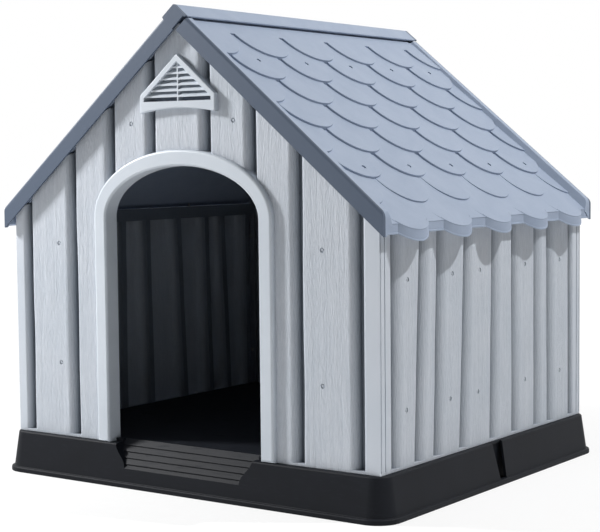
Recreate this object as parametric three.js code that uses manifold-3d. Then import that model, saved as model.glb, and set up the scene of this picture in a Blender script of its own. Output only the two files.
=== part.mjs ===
// Moulded plastic dog house: plank walls, a roof of fish-scale tiles and a dark base tray.
// Millimetres, +Z up. The origin is on the ground under the middle; the doorway faces -Y.
import * as THREE from 'three';
import { mergeVertices } from 'three/addons/utils/BufferGeometryUtils.js';
import Module from 'manifold-3d';

const wasm = await Module();
wasm.setup();

// ---- Driving dimensions -------------------------------------------------------------------

const CABIN_WIDTH = 788; // across the plank faces of the side walls
const CABIN_DEPTH = 709.2; // across the plank faces of the gable walls
const RIDGE_HEIGHT = 823.5; // where the planes of the two rake tops meet
const ROOF_PITCH = THREE.MathUtils.degToRad(39.6);
const SHELL = 4; // wall of every moulding
const FIT = 0.3; // gap between two pieces that touch
const BITE = 1; // how far one solid runs into the next before the two are joined
const ROUND_STEPS = 4; // chords in a rounded corner

// Base tray
const LEDGE_HEIGHT = 73.6; // the walls stand on this ledge
const FLOOR_RISE = 5.4; // the floor stands above the ledge and locates the walls
const LEDGE_WIDTH = 6.5; // ledge left showing outside the side walls
const LEDGE_WIDTH_FRONT = 6; // and outside the gable walls
const SHOULDER = 4; // rounded edge of the ledge
const SKIRT_FLARE = 9; // how far the skirt leans out on its way down
const BEAD_HEIGHT = 9; // thick bead along the foot of the skirt
const BEAD_REACH = 5.5; // how far it stands out from the skirt
const TRAY_CORNER = 24; // corner radius at the ledge, in plan
const TRAY_RIB_SPACING = 240; // ribs under the floor
const TRAY_RIB_HEIGHT = 34;

// Step in the front of the tray
const STEP_TOP_HALF = 150; // half width at the floor
const STEP_LIP_HALF = 126; // half width at the lip
const STEP_LIP_HEIGHT = 29.5;
const STEP_RUN = 33.5; // how far the tread runs back
const STEP_BACK = 18; // top of the tread behind the plank faces
const SILL_REACH = 12; // the floor runs this far forward in the doorway
const STEP_BANDS = 5;
const STEP_LAP = 2.5; // each band laps over the one below

// Slot in each side skirt
const SLOT_TOP = [-13, 23]; // front and back edge at the ledge
const SLOT_FOOT = [1, 22]; // and at the bead

// Planks
const GROOVE_DEPTH = 17;
const GROOVE_SHOULDER = 9; // rounded plank edge, across the groove
const SHOULDER_STEPS = 3;
const FOOT_RAIL = 4; // flange along the foot of every wall
const FRONT_GROOVE = 27.5;
const FRONT_STRIPS = [17, 25.5]; // smooth corner strips, left and right
const FRONT_PLANKS = [83.2, 66.7, 65.1, 92.7, 67.4, 62.4, 88]; // shares of the width between them
const SIDE_GROOVE = 24;
const SIDE_STRIP = 16; // smooth strip at each end of a side wall
const SIDE_PLANKS = [54, 32.8, 63.2, 75.7, 51.7, 61.4, 28.3, 64.2];
const SIDE_LEANS = [9, 6.5, 9.5, 4.5, -1.3, 0, -1.3, -1.3]; // half the lean of each plank's rear edge
const CORNER_RETURN = 13.1; // how far a gable wall wraps round the corner
const TOP_RAIL = 23; // stiff band inside the top of a side wall

// Doorway
const DOOR_HALF = 166;
const DOOR_SPRING = 395.3; // height above the ledge where the arch starts
const DOOR_RISE = 88.6; // rise of the arch
const SURROUND_WIDTH = 27.5;
const TRIM_RISE = 9; // surround and vents stand proud of the planks
const REVEAL = 13.5; // depth of the surround's inner edge
const ARCH_STEPS = 24;

// Gable vents
const VENT_DROP = 1 / 3; // apex of the vent below the ridge, as a share of the gable above the doorway
const VENT_HEIGHT = 0.407; // as a share of the same
const VENT_HALF = 0.34; // half width, as a share of the same
const VENT_ARCH = 7.4; // rise of the curved foot
const VENT_RAKE_BAR = 9.2;
const VENT_SIDE_BAR = 8.4;
const VENT_SILL = 0.196; // bottom of the louvred opening, as a share of the vent's height
const VENT_HIDDEN = 0.5; // the wall's collar stops this far inside the vent's outline
const SLAT_PITCH = 9.57;
const SLAT_EDGE = 3;
const SLAT_RUN = 14; // front to back
const SLAT_SOCKET = 1.5; // how far a slat runs into the bars
const VENT_RIB = 2.5;
const CLIP_REACH = 2.4;
const CLIP_DEPTH = 3;
const CLIP_HEIGHT = 12;

// Roof
const RAKE_OVERHANG = 13.4; // rake faces stand this far in front of the planks
const EAVE_REACH = 16; // eave faces stand this far outside the side walls
const RAKE_HEIGHT = 28.8; // square to the slope
const RAKE_TOP = 18; // width of the rim on top
const RAKE_FOOT = 27; // width of the rim where it meets the tiles
const RAKE_INNER = 17.5; // depth of the rim's inner side
const RAKE_EDGE = 5; // rounded outer edge
const RAKE_NOSE = 18; // rounded end of the rake at the eave
const TILE_WIDTH = 139.5; // tile to tile along a row
const TILE_GAP = 13; // between the tiles of a row, where the next row shows through
const TILE_SHIFT = 11; // the rows above the last stand this much towards +Y
const TILE_PITCH = 62.4; // row to row, down the slope
const TILE_TILT = 2.2; // a tile rises this much over one pitch towards its lower edge
const DECK_LEAST = 3; // thickness of the deck under the upper end of a tile
const FIRST_ROW_DROP = 1.8; // first row below the rim
const EAVE_DROP = 13.8; // straight eave below the rim
const TOP_STRIP = 20; // least plain strip between the ridge cap and the first tiles
const TILE_STEPS = 6; // chords in the arc of a tile
const SCALLOP_REACH = 18; // how far the last row's scallops pass the straight eave, down the slope
const EAVE_DEPTH = 26.8; // lower edge of the eave, square to the slope
const CAP_REACH = 31; // ridge cap, down each slope
const CAP_RISE = 2.2; // it stands above the rims
const RIDGE_FLAT = 2; // blunt top of the cap
const RIDGE_TUCK = 9; // where the lower panel starts under the cap
const RAKE_END_GAP = 7; // between the two rakes at the gable's top

// Screws
const SCREW_RADIUS = 1.7;
const SCREW_POINT = 2;
const SCREW_HEAD = 4;
const SCREW_HEAD_TOP = 3.2;
const SCREW_HEAD_HEIGHT = 2.4;
const SCREW_LENGTH = 12;
const BOSS_RADIUS = 5.5;
const ROUND_SIDES = 8; // sides of screws, holes and bosses
const LOW_SCREW_HEIGHT = 76; // lower corner screws, above the ledge
const HIGH_SCREW_DROP = 70.748; // upper corner screws, below the tops of the side walls

// ---- Places worked out from them ----------------------------------------------------------

const wallX = CABIN_WIDTH / 2;
const wallY = CABIN_DEPTH / 2;
const wallBand = GROOVE_DEPTH + SHELL; // full thickness of a planked wall
const wallFoot = LEDGE_HEIGHT + FIT;
const floorHeight = LEDGE_HEIGHT + FLOOR_RISE;
const cornerJoint = wallY - CORNER_RETURN; // y of the joint between gable and side wall
const pocket = SHELL + GROOVE_DEPTH / 2; // middle of the hollow behind a plank
const rakeY = wallY + RAKE_OVERHANG;
const eaveX = wallX + EAVE_REACH;
const tileRadius = (TILE_WIDTH - TILE_GAP) / 2;
const trayReach = LEDGE_WIDTH_FRONT + SHOULDER + SKIRT_FLARE + BEAD_REACH + STEP_RUN;
const doorSpring = LEDGE_HEIGHT + DOOR_SPRING;
const gableSpace = RIDGE_HEIGHT - (doorSpring + DOOR_RISE + SURROUND_WIDTH);
const ventApex = RIDGE_HEIGHT - gableSpace * VENT_DROP;
const ventHeight = gableSpace * VENT_HEIGHT;
const ventFoot = ventApex - ventHeight;
const ventHalf = gableSpace * VENT_HALF;
const ventSill = ventFoot + ventHeight * VENT_SILL;

// Side planks whose hollows take the foot and roof screws, counted from the front.
const screwPlanks = [Math.round(SIDE_PLANKS.length * 0.25), Math.round(SIDE_PLANKS.length * 0.6)];
const holeRadius = SCREW_RADIUS + FIT;
const deckDepth = FIRST_ROW_DROP + 2 * TILE_TILT + DECK_LEAST; // underside of the deck at the ridge
const eaveDeckDepth = deckDepth + EAVE_DROP - FIRST_ROW_DROP; // and at the eave
const gableTop = -eaveDeckDepth - FIT; // top of the gable walls, square to the slope

const cosPitch = Math.cos(ROOF_PITCH);
const sinPitch = Math.sin(ROOF_PITCH);
const slats = Math.floor((ventApex - VENT_RAKE_BAR / cosPitch - ventSill) / SLAT_PITCH);

/** Height of the roof's plane at x, or of a plane that lies `normal` above it. */
function roofHeight(x, normal = 0) {
  return RIDGE_HEIGHT - x * Math.tan(ROOF_PITCH) + normal / cosPitch;
}

/** Distance down the slope of the point at x on the plane that lies `normal` above the roof's. */
function downSlope(x, normal) {
  return (x - normal * sinPitch) / cosPitch;
}

const straightEave = downSlope(eaveX, -EAVE_DROP);
const lastFoot = straightEave + SCALLOP_REACH;
const tileRows = 1 + Math.floor((lastFoot - tileRadius - TOP_STRIP - CAP_REACH) / TILE_PITCH);
const rowDrop = (EAVE_DROP - FIRST_ROW_DROP) / tileRows; // each row lies this much lower than the last
const rowTop = (row) => -FIRST_ROW_DROP - rowDrop * row;
const rowFoot = (row) => lastFoot - TILE_PITCH * (tileRows - 1 - row);

/** Height of the deck's flat underside, which falls away from the roof's plane with the rows. */
function deckUnderside(x) {
  return roofHeight(x, -deckDepth - ((eaveDeckDepth - deckDepth) * x) / eaveX);
}

const sideWallTop = deckUnderside(wallX) - FIT;
const cornerScrewHeights = [LEDGE_HEIGHT + LOW_SCREW_HEIGHT, sideWallTop - HIGH_SCREW_DROP];

// ---- Materials ----------------------------------------------------------------------------

const wallPlastic = new THREE.MeshStandardMaterial({ color: '#cfd4da', roughness: 0.62, metalness: 0 });
const trimPlastic = new THREE.MeshStandardMaterial({ color: '#bac3cb', roughness: 0.5, metalness: 0 });
const roofPlastic = new THREE.MeshStandardMaterial({ color: '#b2bed0', roughness: 0.48, metalness: 0 });
const trayPlastic = new THREE.MeshStandardMaterial({ color: '#2e3138', roughness: 0.5, metalness: 0 });
const zincSteel = new THREE.MeshStandardMaterial({ color: '#a9abad', roughness: 0.35, metalness: 1 });

// ---- Solids -------------------------------------------------------------------------------

const point = (u, v) => new THREE.Vector2(u, v);
const axis = (x, y, z) => new THREE.Vector3(x, y, z);
const frame = (u, v, w) => new THREE.Matrix4().makeBasis(u, v, w);

// An outline (u, v) is swept along w. Each frame says where u, v and w point.
const PLAN = frame(axis(1, 0, 0), axis(0, 1, 0), axis(0, 0, 1));
const FRONT = frame(axis(1, 0, 0), axis(0, 0, 1), axis(0, -1, 0));
const SIDE = frame(axis(0, 1, 0), axis(0, 0, 1), axis(1, 0, 0));
const down = axis(cosPitch, 0, -sinPitch);
const along = axis(0, 1, 0);
const normal = axis(sinPitch, 0, cosPitch);
const SLOPE = frame(down, along, normal).setPosition(0, 0, RIDGE_HEIGHT);
const RAKE = frame(along, normal, down).setPosition(0, 0, RIDGE_HEIGHT);
const OTHER_SLOPE = new THREE.Matrix4().makeRotationZ(Math.PI).multiply(SLOPE);

/** A closed three.js geometry as a solid that can be joined and cut. */
function solid(geometry) {
  geometry.deleteAttribute('normal');
  geometry.deleteAttribute('uv');
  const merged = mergeVertices(geometry);
  const vertProperties = merged.attributes.position.array;
  const triVerts = Uint32Array.from(merged.index.array);
  return new wasm.Manifold(new wasm.Mesh({ numProp: 3, vertProperties, triVerts }));
}

/** An outline swept from one value of w to another in the given frame. */
function prism(outline, from, to, basis = PLAN) {
  const geometry = new THREE.ExtrudeGeometry(new THREE.Shape(outline), {
    depth: to - from,
    bevelEnabled: false,
  });
  geometry.translate(0, 0, from);
  geometry.applyMatrix4(basis);
  return solid(geometry);
}

/** An (x, z) outline swept along Y. */
const frontPrism = (outline, yFrom, yTo) => prism(outline, -yTo, -yFrom, FRONT);

/** A box between two corners of (u, v, w) in the given frame. */
function block([u0, v0, w0], [u1, v1, w1], basis = PLAN) {
  const geometry = new THREE.BoxGeometry(u1 - u0, v1 - v0, w1 - w0);
  geometry.translate((u0 + u1) / 2, (v0 + v1) / 2, (w0 + w1) / 2);
  geometry.applyMatrix4(basis);
  return solid(geometry);
}

/** An upright cylinder. */
function post(x, y, from, to, radius) {
  const geometry = new THREE.CylinderGeometry(radius, radius, to - from, ROUND_SIDES);
  geometry.rotateX(Math.PI / 2);
  geometry.translate(x, y, (from + to) / 2);
  return solid(geometry);
}

/** A solid between two outlines with as many points, one at each height. */
function loft(lower, upper, from, to) {
  const count = lower.length;
  const turn = THREE.ShapeUtils.isClockWise(lower) ? -1 : 1;
  const low = turn < 0 ? [...lower].reverse() : lower;
  const high = turn < 0 ? [...upper].reverse() : upper;
  const positions = [...low.flatMap((p) => [p.x, p.y, from]), ...high.flatMap((p) => [p.x, p.y, to])];
  const index = [];
  for (let i = 0; i < count; i += 1) {
    const next = (i + 1) % count;
    index.push(i, next, next + count, i, next + count, i + count);
  }
  for (const [a, b, c] of THREE.ShapeUtils.triangulateShape(low, [])) {
    index.push(a, c, b, a + count, b + count, c + count);
  }
  const geometry = new THREE.BufferGeometry();
  geometry.setAttribute('position', new THREE.Float32BufferAttribute(positions, 3));
  geometry.setIndex(index);
  return solid(geometry);
}

const joined = (parts) => parts.reduce((whole, part) => whole.add(part));
const cut = (whole, parts) => parts.reduce((rest, part) => rest.subtract(part), whole);

/** A named mesh from a solid. */
function piece(name, body, material) {
  const { vertProperties, triVerts } = body.getMesh();
  const geometry = new THREE.BufferGeometry();
  geometry.setAttribute('position', new THREE.BufferAttribute(vertProperties, 3));
  geometry.setIndex(new THREE.BufferAttribute(triVerts, 1));
  geometry.computeVertexNormals();
  const mesh = new THREE.Mesh(geometry, material);
  mesh.name = name;
  return mesh;
}

/** Points on an arc round a centre, both ends included. */
function arc(centreX, centreY, radiusX, radiusY, from, to, steps) {
  const points = [];
  for (let i = 0; i <= steps; i += 1) {
    const angle = from + ((to - from) * i) / steps;
    points.push(point(centreX + radiusX * Math.cos(angle), centreY + radiusY * Math.sin(angle)));
  }
  return points;
}

/** A rectangle with rounded corners, as points. */
function roundedRectangle(halfX, halfY, radius) {
  const x = halfX - radius;
  const y = halfY - radius;
  const quarter = Math.PI / 2;
  return [
    ...arc(x, y, radius, radius, 0, quarter, ROUND_STEPS),
    ...arc(-x, y, radius, radius, quarter, 2 * quarter, ROUND_STEPS),
    ...arc(-x, -y, radius, radius, 2 * quarter, 3 * quarter, ROUND_STEPS),
    ...arc(x, -y, radius, radius, 3 * quarter, 4 * quarter, ROUND_STEPS),
  ];
}

// ---- Planked walls ------------------------------------------------------------------------

/** The same open line, moved sideways by `distance` to its left, with mitred corners. */
function offsetLine(line, distance) {
  return line.map((p, i) => {
    const before = line[Math.max(i - 1, 0)];
    const after = line[Math.min(i + 1, line.length - 1)];
    const arriving = (i > 0 ? p.clone().sub(before) : after.clone().sub(p)).normalize();
    const leaving = (i < line.length - 1 ? after.clone().sub(p) : arriving.clone()).normalize();
    const bisector = point(-arriving.y - leaving.y, arriving.x + leaving.x);
    const scale = (2 * distance) / bisector.lengthSq();
    return p.clone().addScaledVector(bisector, scale);
  });
}

/** Start and end of each groove, from the two end strips and the planks' shares of the rest. */
function layGrooves(start, end, strips, shares, grooveWidth) {
  const total = shares.reduce((sum, share) => sum + share, 0);
  const free = end - start - strips[0] - strips[1] - (shares.length + 1) * grooveWidth;
  const grooves = [];
  let from = start + strips[0];
  for (const share of [...shares, 0]) {
    grooves.push([from, from + grooveWidth]);
    from += grooveWidth + (share * free) / total;
  }
  return grooves;
}

/** One groove as (run, depth) points: a rounded plank edge, a flat bottom, a rounded edge. */
function groovePoints([from, to]) {
  const points = [];
  for (let i = 0; i <= SHOULDER_STEPS; i += 1) {
    const angle = ((Math.PI / 2) * i) / SHOULDER_STEPS;
    const run = GROOVE_SHOULDER * Math.sin(angle);
    points.push(point(run, GROOVE_DEPTH * (1 - Math.cos(angle))));
  }
  const near = points.map((p) => point(from + p.x, p.y));
  const far = points.map((p) => point(to - p.x, p.y)).reverse();
  return [...near, ...far];
}

/** Outline of a wall in plan: its outer line, then its inner line back again. */
const wallOutline = (outer) => [...outer, ...offsetLine(outer, SHELL).reverse()];

const frontGrooves = layGrooves(-wallX, wallX, FRONT_STRIPS, FRONT_PLANKS, FRONT_GROOVE);
const frontPlankCentre = (plank) => (frontGrooves[plank][1] + frontGrooves[plank + 1][0]) / 2;

const sideEnd = cornerJoint - FIT;
const sideGrooves = layGrooves(-sideEnd, sideEnd, [SIDE_STRIP, SIDE_STRIP], SIDE_PLANKS, SIDE_GROOVE);

/** Side grooves with every plank's rear edge leaning: side is -1 at the foot and 1 at the top. */
function leaningGrooves(side) {
  return sideGrooves.map(([from, to], groove) => {
    const lean = groove > 0 ? side * SIDE_LEANS[groove - 1] : 0;
    return [from + lean, to + lean];
  });
}

/** The middle of a side plank, at its foot or its top. */
function sidePlankCentre(plank, side) {
  const grooves = leaningGrooves(side);
  return (grooves[plank][1] + grooves[plank + 1][0]) / 2;
}

// ---- Doorway and vent outlines -------------------------------------------------------------

/** The doorway's arch, grown outwards by `grow`, from `foot` up. */
function doorOutline(grow, foot) {
  const half = DOOR_HALF + grow;
  const arch = arc(0, doorSpring, half, DOOR_RISE + grow, 0, Math.PI, ARCH_STEPS);
  return [point(half, foot), ...arch, point(-half, foot)];
}

/** The vent's outline, drawn in by `inset` on every side. */
function ventOutline(inset) {
  const half = ventHalf - inset;
  const apex = ventApex - inset / cosPitch;
  const radius = (ventHalf ** 2 + VENT_ARCH ** 2) / (2 * VENT_ARCH);
  const centre = ventFoot + VENT_ARCH - radius;
  const top = Math.PI / 2;
  const reach = Math.asin(half / (radius + inset));
  const foot = arc(0, centre, radius + inset, radius + inset, top + reach, top - reach, 2 * ROUND_STEPS);
  const shoulder = apex - half * Math.tan(ROOF_PITCH);
  return [...foot, point(half, shoulder), point(0, apex), point(-half, shoulder)];
}

/** The louvred opening inside the vent's bars, grown by `grow`. */
function louvreOutline(grow) {
  const half = ventHalf - VENT_SIDE_BAR + grow;
  const apex = ventApex - (VENT_RAKE_BAR - grow) / cosPitch;
  const shoulder = apex - half * Math.tan(ROOF_PITCH);
  const foot = ventSill - grow;
  return [point(-half, foot), point(half, foot), point(half, shoulder), point(0, apex),
    point(-half, shoulder)];
}

// ---- Gable walls --------------------------------------------------------------------------

/** Everything under the roof, as a front outline. */
function gableOutline() {
  const beyond = wallX + SHELL;
  const eave = roofHeight(beyond, gableTop);
  return [point(-beyond, wallFoot), point(beyond, wallFoot), point(beyond, eave),
    point(0, roofHeight(0, gableTop)), point(-beyond, eave)];
}

function gableWall(hasDoor) {
  const face = -wallY;
  const back = face + wallBand;
  const corner = -cornerJoint;
  const flange = wallX - wallBand;
  const front = frontGrooves.flatMap(groovePoints).map((p) => point(p.x, face + p.y));
  const left = [point(-flange, corner), point(-wallX, corner), point(-wallX, face)];
  const right = [point(wallX, face), point(wallX, corner), point(flange, corner)];
  const outline = wallOutline([...left, ...front, ...right]);
  const sheet = loft(outline, outline, wallFoot, RIDGE_HEIGHT);

  const railTop = wallFoot + FOOT_RAIL;
  const railEnd = flange - FIT;
  const rails = [
    block([-railEnd, face, wallFoot], [railEnd, back, railTop]),
    block([-wallX, face, wallFoot], [wallX, corner, railTop]),
  ];
  const collar = frontPrism(ventOutline(VENT_HIDDEN), face, back);
  const trim = [collar];
  const holes = [frontPrism(ventOutline(VENT_HIDDEN + SHELL), face - SHELL, back + SHELL)];
  if (hasDoor) {
    const proud = face - TRIM_RISE;
    const below = wallFoot - SHELL;
    const behind = back + SHELL;
    trim.push(frontPrism(doorOutline(SURROUND_WIDTH, wallFoot), proud, back));
    const inside = doorOutline(SURROUND_WIDTH - SHELL, below);
    const edge = frontPrism(doorOutline(SHELL, below), proud, behind + SHELL);
    holes.push(frontPrism(inside, proud + REVEAL, behind));
    holes.push(frontPrism(inside, proud + SHELL, behind).subtract(edge));
    holes.push(frontPrism(doorOutline(0, below), proud - SHELL, behind));
  }
  const screws = [];
  for (const side of [-1, 1]) {
    for (const height of cornerScrewHeights) {
      screws.push(cornerHole(side, height));
    }
  }
  for (const plank of [0, FRONT_PLANKS.length - 1]) {
    screws.push(post(frontPlankCentre(plank), face + pocket, wallFoot - SHELL, railTop + SHELL, holeRadius));
  }
  const whole = joined([sheet, ...rails, ...trim]);
  const underRoof = frontPrism(gableOutline(), face - 2 * TRIM_RISE, back + SHELL);
  return cut(whole, [...holes, ...screws]).intersect(underRoof);
}

/** A hole along Y through both flanges of a front corner, at a height above the ground. */
function cornerHole(side, height) {
  const geometry = new THREE.CylinderGeometry(holeRadius, holeRadius, 4 * SHELL, ROUND_SIDES);
  geometry.translate(side * (wallX - pocket), -cornerJoint, height);
  return solid(geometry);
}

// ---- Side walls ---------------------------------------------------------------------------

/** The right side wall; turned half round it is the left one. */
function sideWall() {
  const inner = wallX - wallBand;
  const line = (side) => {
    const planks = leaningGrooves(side).flatMap(groovePoints).map((p) => point(wallX - p.y, p.x));
    const front = [point(inner, -sideEnd), point(wallX, -sideEnd)];
    const rear = [point(wallX, sideEnd), point(inner, sideEnd)];
    return wallOutline([...front, ...planks, ...rear]);
  };
  const sheet = loft(line(-1), line(1), wallFoot, sideWallTop);
  const railTop = wallFoot + FOOT_RAIL;
  const rails = [
    block([inner, -sideEnd, wallFoot], [wallX, sideEnd, railTop]),
    block([inner, -sideEnd, sideWallTop - TOP_RAIL], [inner + SHELL, sideEnd, sideWallTop]),
    block([inner, -sideEnd, sideWallTop - SHELL], [wallX, sideEnd, sideWallTop]),
  ];
  const holes = [];
  for (const height of cornerScrewHeights) {
    const front = cornerHole(1, height);
    holes.push(front, front.mirror([0, 1, 0]));
  }
  for (const plank of screwPlanks) {
    const foot = sidePlankCentre(plank, -1);
    const top = sidePlankCentre(plank, 1);
    holes.push(post(wallX - pocket, foot, wallFoot - SHELL, railTop + SHELL, holeRadius));
    holes.push(post(wallX - pocket, top, sideWallTop - 2 * SHELL, sideWallTop + SHELL, holeRadius));
  }
  return cut(joined([sheet, ...rails]), holes);
}

// ---- Gable vent ---------------------------------------------------------------------------

function gableVent() {
  const wall = -wallY;
  const proud = wall - TRIM_RISE;
  const collarBack = wall + wallBand;
  const back = collarBack + FIT + CLIP_DEPTH;
  const sleeve = VENT_HIDDEN + SHELL + FIT;
  const body = joined([
    frontPrism(ventOutline(0), proud, wall - FIT),
    frontPrism(ventOutline(sleeve), proud, back),
  ]).subtract(frontPrism(louvreOutline(0), proud - SHELL, back + SHELL));
  const slatFront = proud + SLAT_EDGE;
  const slatBack = slatFront + SLAT_RUN;
  const louvres = [block([-VENT_RIB / 2, slatFront, ventSill - BITE], [VENT_RIB / 2, slatBack, ventApex])];
  for (let slat = 1; slat <= slats; slat += 1) {
    const foot = ventSill + slat * SLAT_PITCH - SLAT_EDGE;
    const section = [point(slatFront, foot), point(slatBack, foot + SLAT_PITCH),
      point(slatBack, foot + SLAT_PITCH + SLAT_EDGE), point(slatFront, foot + SLAT_EDGE)];
    louvres.push(prism(section, -ventHalf, ventHalf, SIDE));
  }
  const grille = joined(louvres).intersect(frontPrism(louvreOutline(SLAT_SOCKET), proud, back));
  const clipFoot = ventFoot + sleeve + CLIP_REACH;
  const clips = [-1, 1].map((side) => {
    const centre = side * (ventHalf - sleeve);
    const low = [centre - CLIP_REACH, collarBack + FIT, clipFoot];
    return block(low, [centre + CLIP_REACH, back, clipFoot + CLIP_HEIGHT]);
  });
  return joined([body, grille, ...clips]);
}

// ---- Roof ---------------------------------------------------------------------------------

/** The lower edge of a row of tiles as (down, along) points, between -half and half. */
function tileEdge(row, half) {
  const middle = rowFoot(row) - tileRadius;
  const shift = row < tileRows - 1 ? TILE_SHIFT : 0;
  const offset = shift + ((tileRows - 1 - row) % 2 ? TILE_WIDTH / 2 : 0);
  const reach = Math.ceil(half / TILE_WIDTH) + 1;
  const edge = [];
  const ends = [point(middle, -half), point(middle, half)];
  for (let tile = -reach; tile <= reach; tile += 1) {
    const centre = tile * TILE_WIDTH + offset;
    for (const p of arc(middle, centre, tileRadius, -tileRadius, Math.PI / 2, -Math.PI / 2, TILE_STEPS)) {
      const last = edge[edge.length - 1];
      if (Math.abs(p.y) < half && (!last || p.distanceTo(last) > FIT)) {
        edge.push(p);
      }
    }
    for (const side of [-1, 1]) {
      const across = side * half - centre;
      if (Math.abs(across) < tileRadius) {
        ends[side > 0 ? 1 : 0] = point(middle + Math.sqrt(tileRadius ** 2 - across ** 2), side * half);
      }
    }
  }
  return [ends[0], ...edge, ends[1]];
}

/** Half width of the tiled deck where it runs into the rims, `depth` below their tops. */
function deckHalf(depth) {
  const lean = (RAKE_FOOT - RAKE_TOP) * (depth / RAKE_INNER);
  return rakeY - RAKE_TOP - lean + SHELL / 2;
}

/** One row's plate in its own frame, tilted so that its lower edge stands above the next row. */
function tilePlate(outline, foot, top, thick) {
  const tilt = new THREE.Matrix4().makeRotationY(-Math.atan2(TILE_TILT, TILE_PITCH));
  const lower = new THREE.Matrix4().makeTranslation(foot, 0, top);
  const shifted = outline.map((p) => point(p.x - foot, p.y));
  return prism(shifted, -thick, 0, SLOPE.clone().multiply(lower).multiply(tilt));
}

/** Rows of scalloped plates, each lower than the one above, and the straight eave under the last. */
function tiledDeck(start) {
  const thick = EAVE_DROP + 2 * SHELL;
  const plates = [];
  for (let row = 0; row < tileRows; row += 1) {
    const top = rowTop(row);
    const half = deckHalf(-top + SHELL);
    const from = row ? rowFoot(row - 1) - tileRadius - 2 * SHELL : start;
    const outline = [point(from, -half), ...tileEdge(row, half), point(from, half)];
    plates.push(tilePlate(outline, rowFoot(row), top, thick));
  }
  const half = deckHalf(EAVE_DROP + SHELL / 2);
  const from = rowFoot(tileRows - 2) - tileRadius - 2 * SHELL;
  plates.push(block([from, -half, -EAVE_DROP - thick], [straightEave - FIT, half, -EAVE_DROP], SLOPE));
  const far = 2 * eaveX;
  const foot = deckUnderside(far);
  const below = [point(-eaveX, deckUnderside(-eaveX)), point(-eaveX, foot), point(far, foot)];
  return joined(plates).subtract(frontPrism(below, -2 * rakeY, 2 * rakeY));
}

/** What lies beyond the rounded end of the rakes, `inset` inside their outer face. */
function beyondNose(inset) {
  const radius = RAKE_NOSE - inset;
  const x = eaveX - RAKE_NOSE;
  const z = roofHeight(x, -RAKE_NOSE);
  const nose = arc(x, z, radius, radius, 0, Math.PI / 2 - ROOF_PITCH, ROUND_STEPS);
  const last = nose[nose.length - 1];
  const far = 2 * eaveX;
  const lift = RAKE_HEIGHT;
  return frontPrism([point(eaveX - inset, 0), ...nose,
    point(last.x + lift * sinPitch, last.y + lift * cosPitch), point(far, last.y + lift), point(far, 0)],
  -2 * rakeY, 2 * rakeY);
}

/** One rim along a rake, a channel open below; `raise` lifts it off the roof's plane. */
function rake(side, from, to, raise) {
  const edge = arc(rakeY - RAKE_EDGE, raise - RAKE_EDGE, RAKE_EDGE, RAKE_EDGE, 0, Math.PI / 2, ROUND_STEPS);
  const top = rakeY - RAKE_TOP;
  const foot = rakeY - RAKE_FOOT;
  const heel = raise - RAKE_INNER;
  const below = raise - 2 * RAKE_HEIGHT;
  const filled = [point(rakeY, raise - RAKE_HEIGHT), ...edge, point(top, raise), point(foot, heel),
    point(foot + SHELL + BITE, heel), point(rakeY - 2 * SHELL, raise - RAKE_HEIGHT)];
  const hollow = [point(rakeY - SHELL, below), point(rakeY - SHELL, raise - SHELL),
    point(top + SHELL / 2, raise - SHELL), point(foot + SHELL, heel), point(foot + SHELL, below)];
  const facing = (outline) => outline.map((p) => point(side * p.x, p.y));
  const outer = prism(facing(filled), from, to, RAKE).subtract(beyondNose(0));
  return outer.subtract(prism(facing(hollow), from - SHELL, to, RAKE).subtract(beyondNose(SHELL)));
}

/** Plan outline of the last row's scallops beyond the straight eave, drawn in by `inset`. */
function eaveScallops(inset) {
  const centre = lastFoot - tileRadius;
  const radius = tileRadius - inset;
  const top = rowTop(tileRows - 1);
  const start = downSlope(eaveX - inset, top) - 2 * SHELL;
  const reach = Math.acos((start - centre) / radius);
  const outlines = [];
  const last = Math.floor((rakeY - RAKE_FOOT - tileRadius * Math.sin(reach)) / TILE_WIDTH);
  for (let tile = -last; tile <= last; tile += 1) {
    const lip = arc(centre, tile * TILE_WIDTH, radius, radius, -reach, reach, TILE_STEPS);
    outlines.push(lip.map((p) => point(p.x * cosPitch + top * sinPitch, p.y)));
  }
  return outlines;
}

/** The upright face along the eave: straight between the scallops and curved round each. */
function eaveFace() {
  const half = rakeY - FIT;
  const slab = (top) => block([0, -rakeY, -EAVE_DEPTH], [2 * straightEave, rakeY, top], SLOPE);
  const low = roofHeight(eaveX + 2 * SCALLOP_REACH, -EAVE_DEPTH);
  const high = roofHeight(wallX, 0);
  const upright = (outline) => prism(outline, low, high);
  const straight = block([eaveX - 4 * SHELL, -half, low], [eaveX, half, high]).intersect(slab(-EAVE_DROP));
  const lips = joined(eaveScallops(FIT).map(upright)).intersect(slab(rowTop(tileRows - 1) - FIT));
  const hollow = joined([
    block([eaveX - 8 * SHELL, -rakeY, low - SHELL], [eaveX - SHELL, rakeY, high + SHELL]),
    ...eaveScallops(SHELL).map(upright),
  ]);
  return straight.add(lips).subtract(hollow);
}

/** A point of the roof in front view, by its distance down the slope on that side. */
function slopePoint(distance, lift, side) {
  const out = distance * cosPitch + lift * sinPitch;
  return point(side * out, RIDGE_HEIGHT - distance * sinPitch + lift * cosPitch);
}

/** The cap over the ridge: thick on its own panel, and a lap over the other one. */
function ridgeCap() {
  const flat = RIDGE_FLAT / 2;
  const lapFoot = FIT - FIRST_ROW_DROP;
  const heel = -SHELL - BITE;
  return frontPrism([
    slopePoint(CAP_REACH, CAP_RISE, 1), point(flat, roofHeight(flat, CAP_RISE)),
    point(-flat, roofHeight(flat, CAP_RISE)), slopePoint(CAP_REACH, CAP_RISE, -1),
    slopePoint(CAP_REACH, lapFoot, -1), point(0, roofHeight(0, lapFoot)),
    point(0, roofHeight(0, heel)), slopePoint(CAP_REACH, heel, 1),
  ], -rakeY, rakeY);
}

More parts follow.
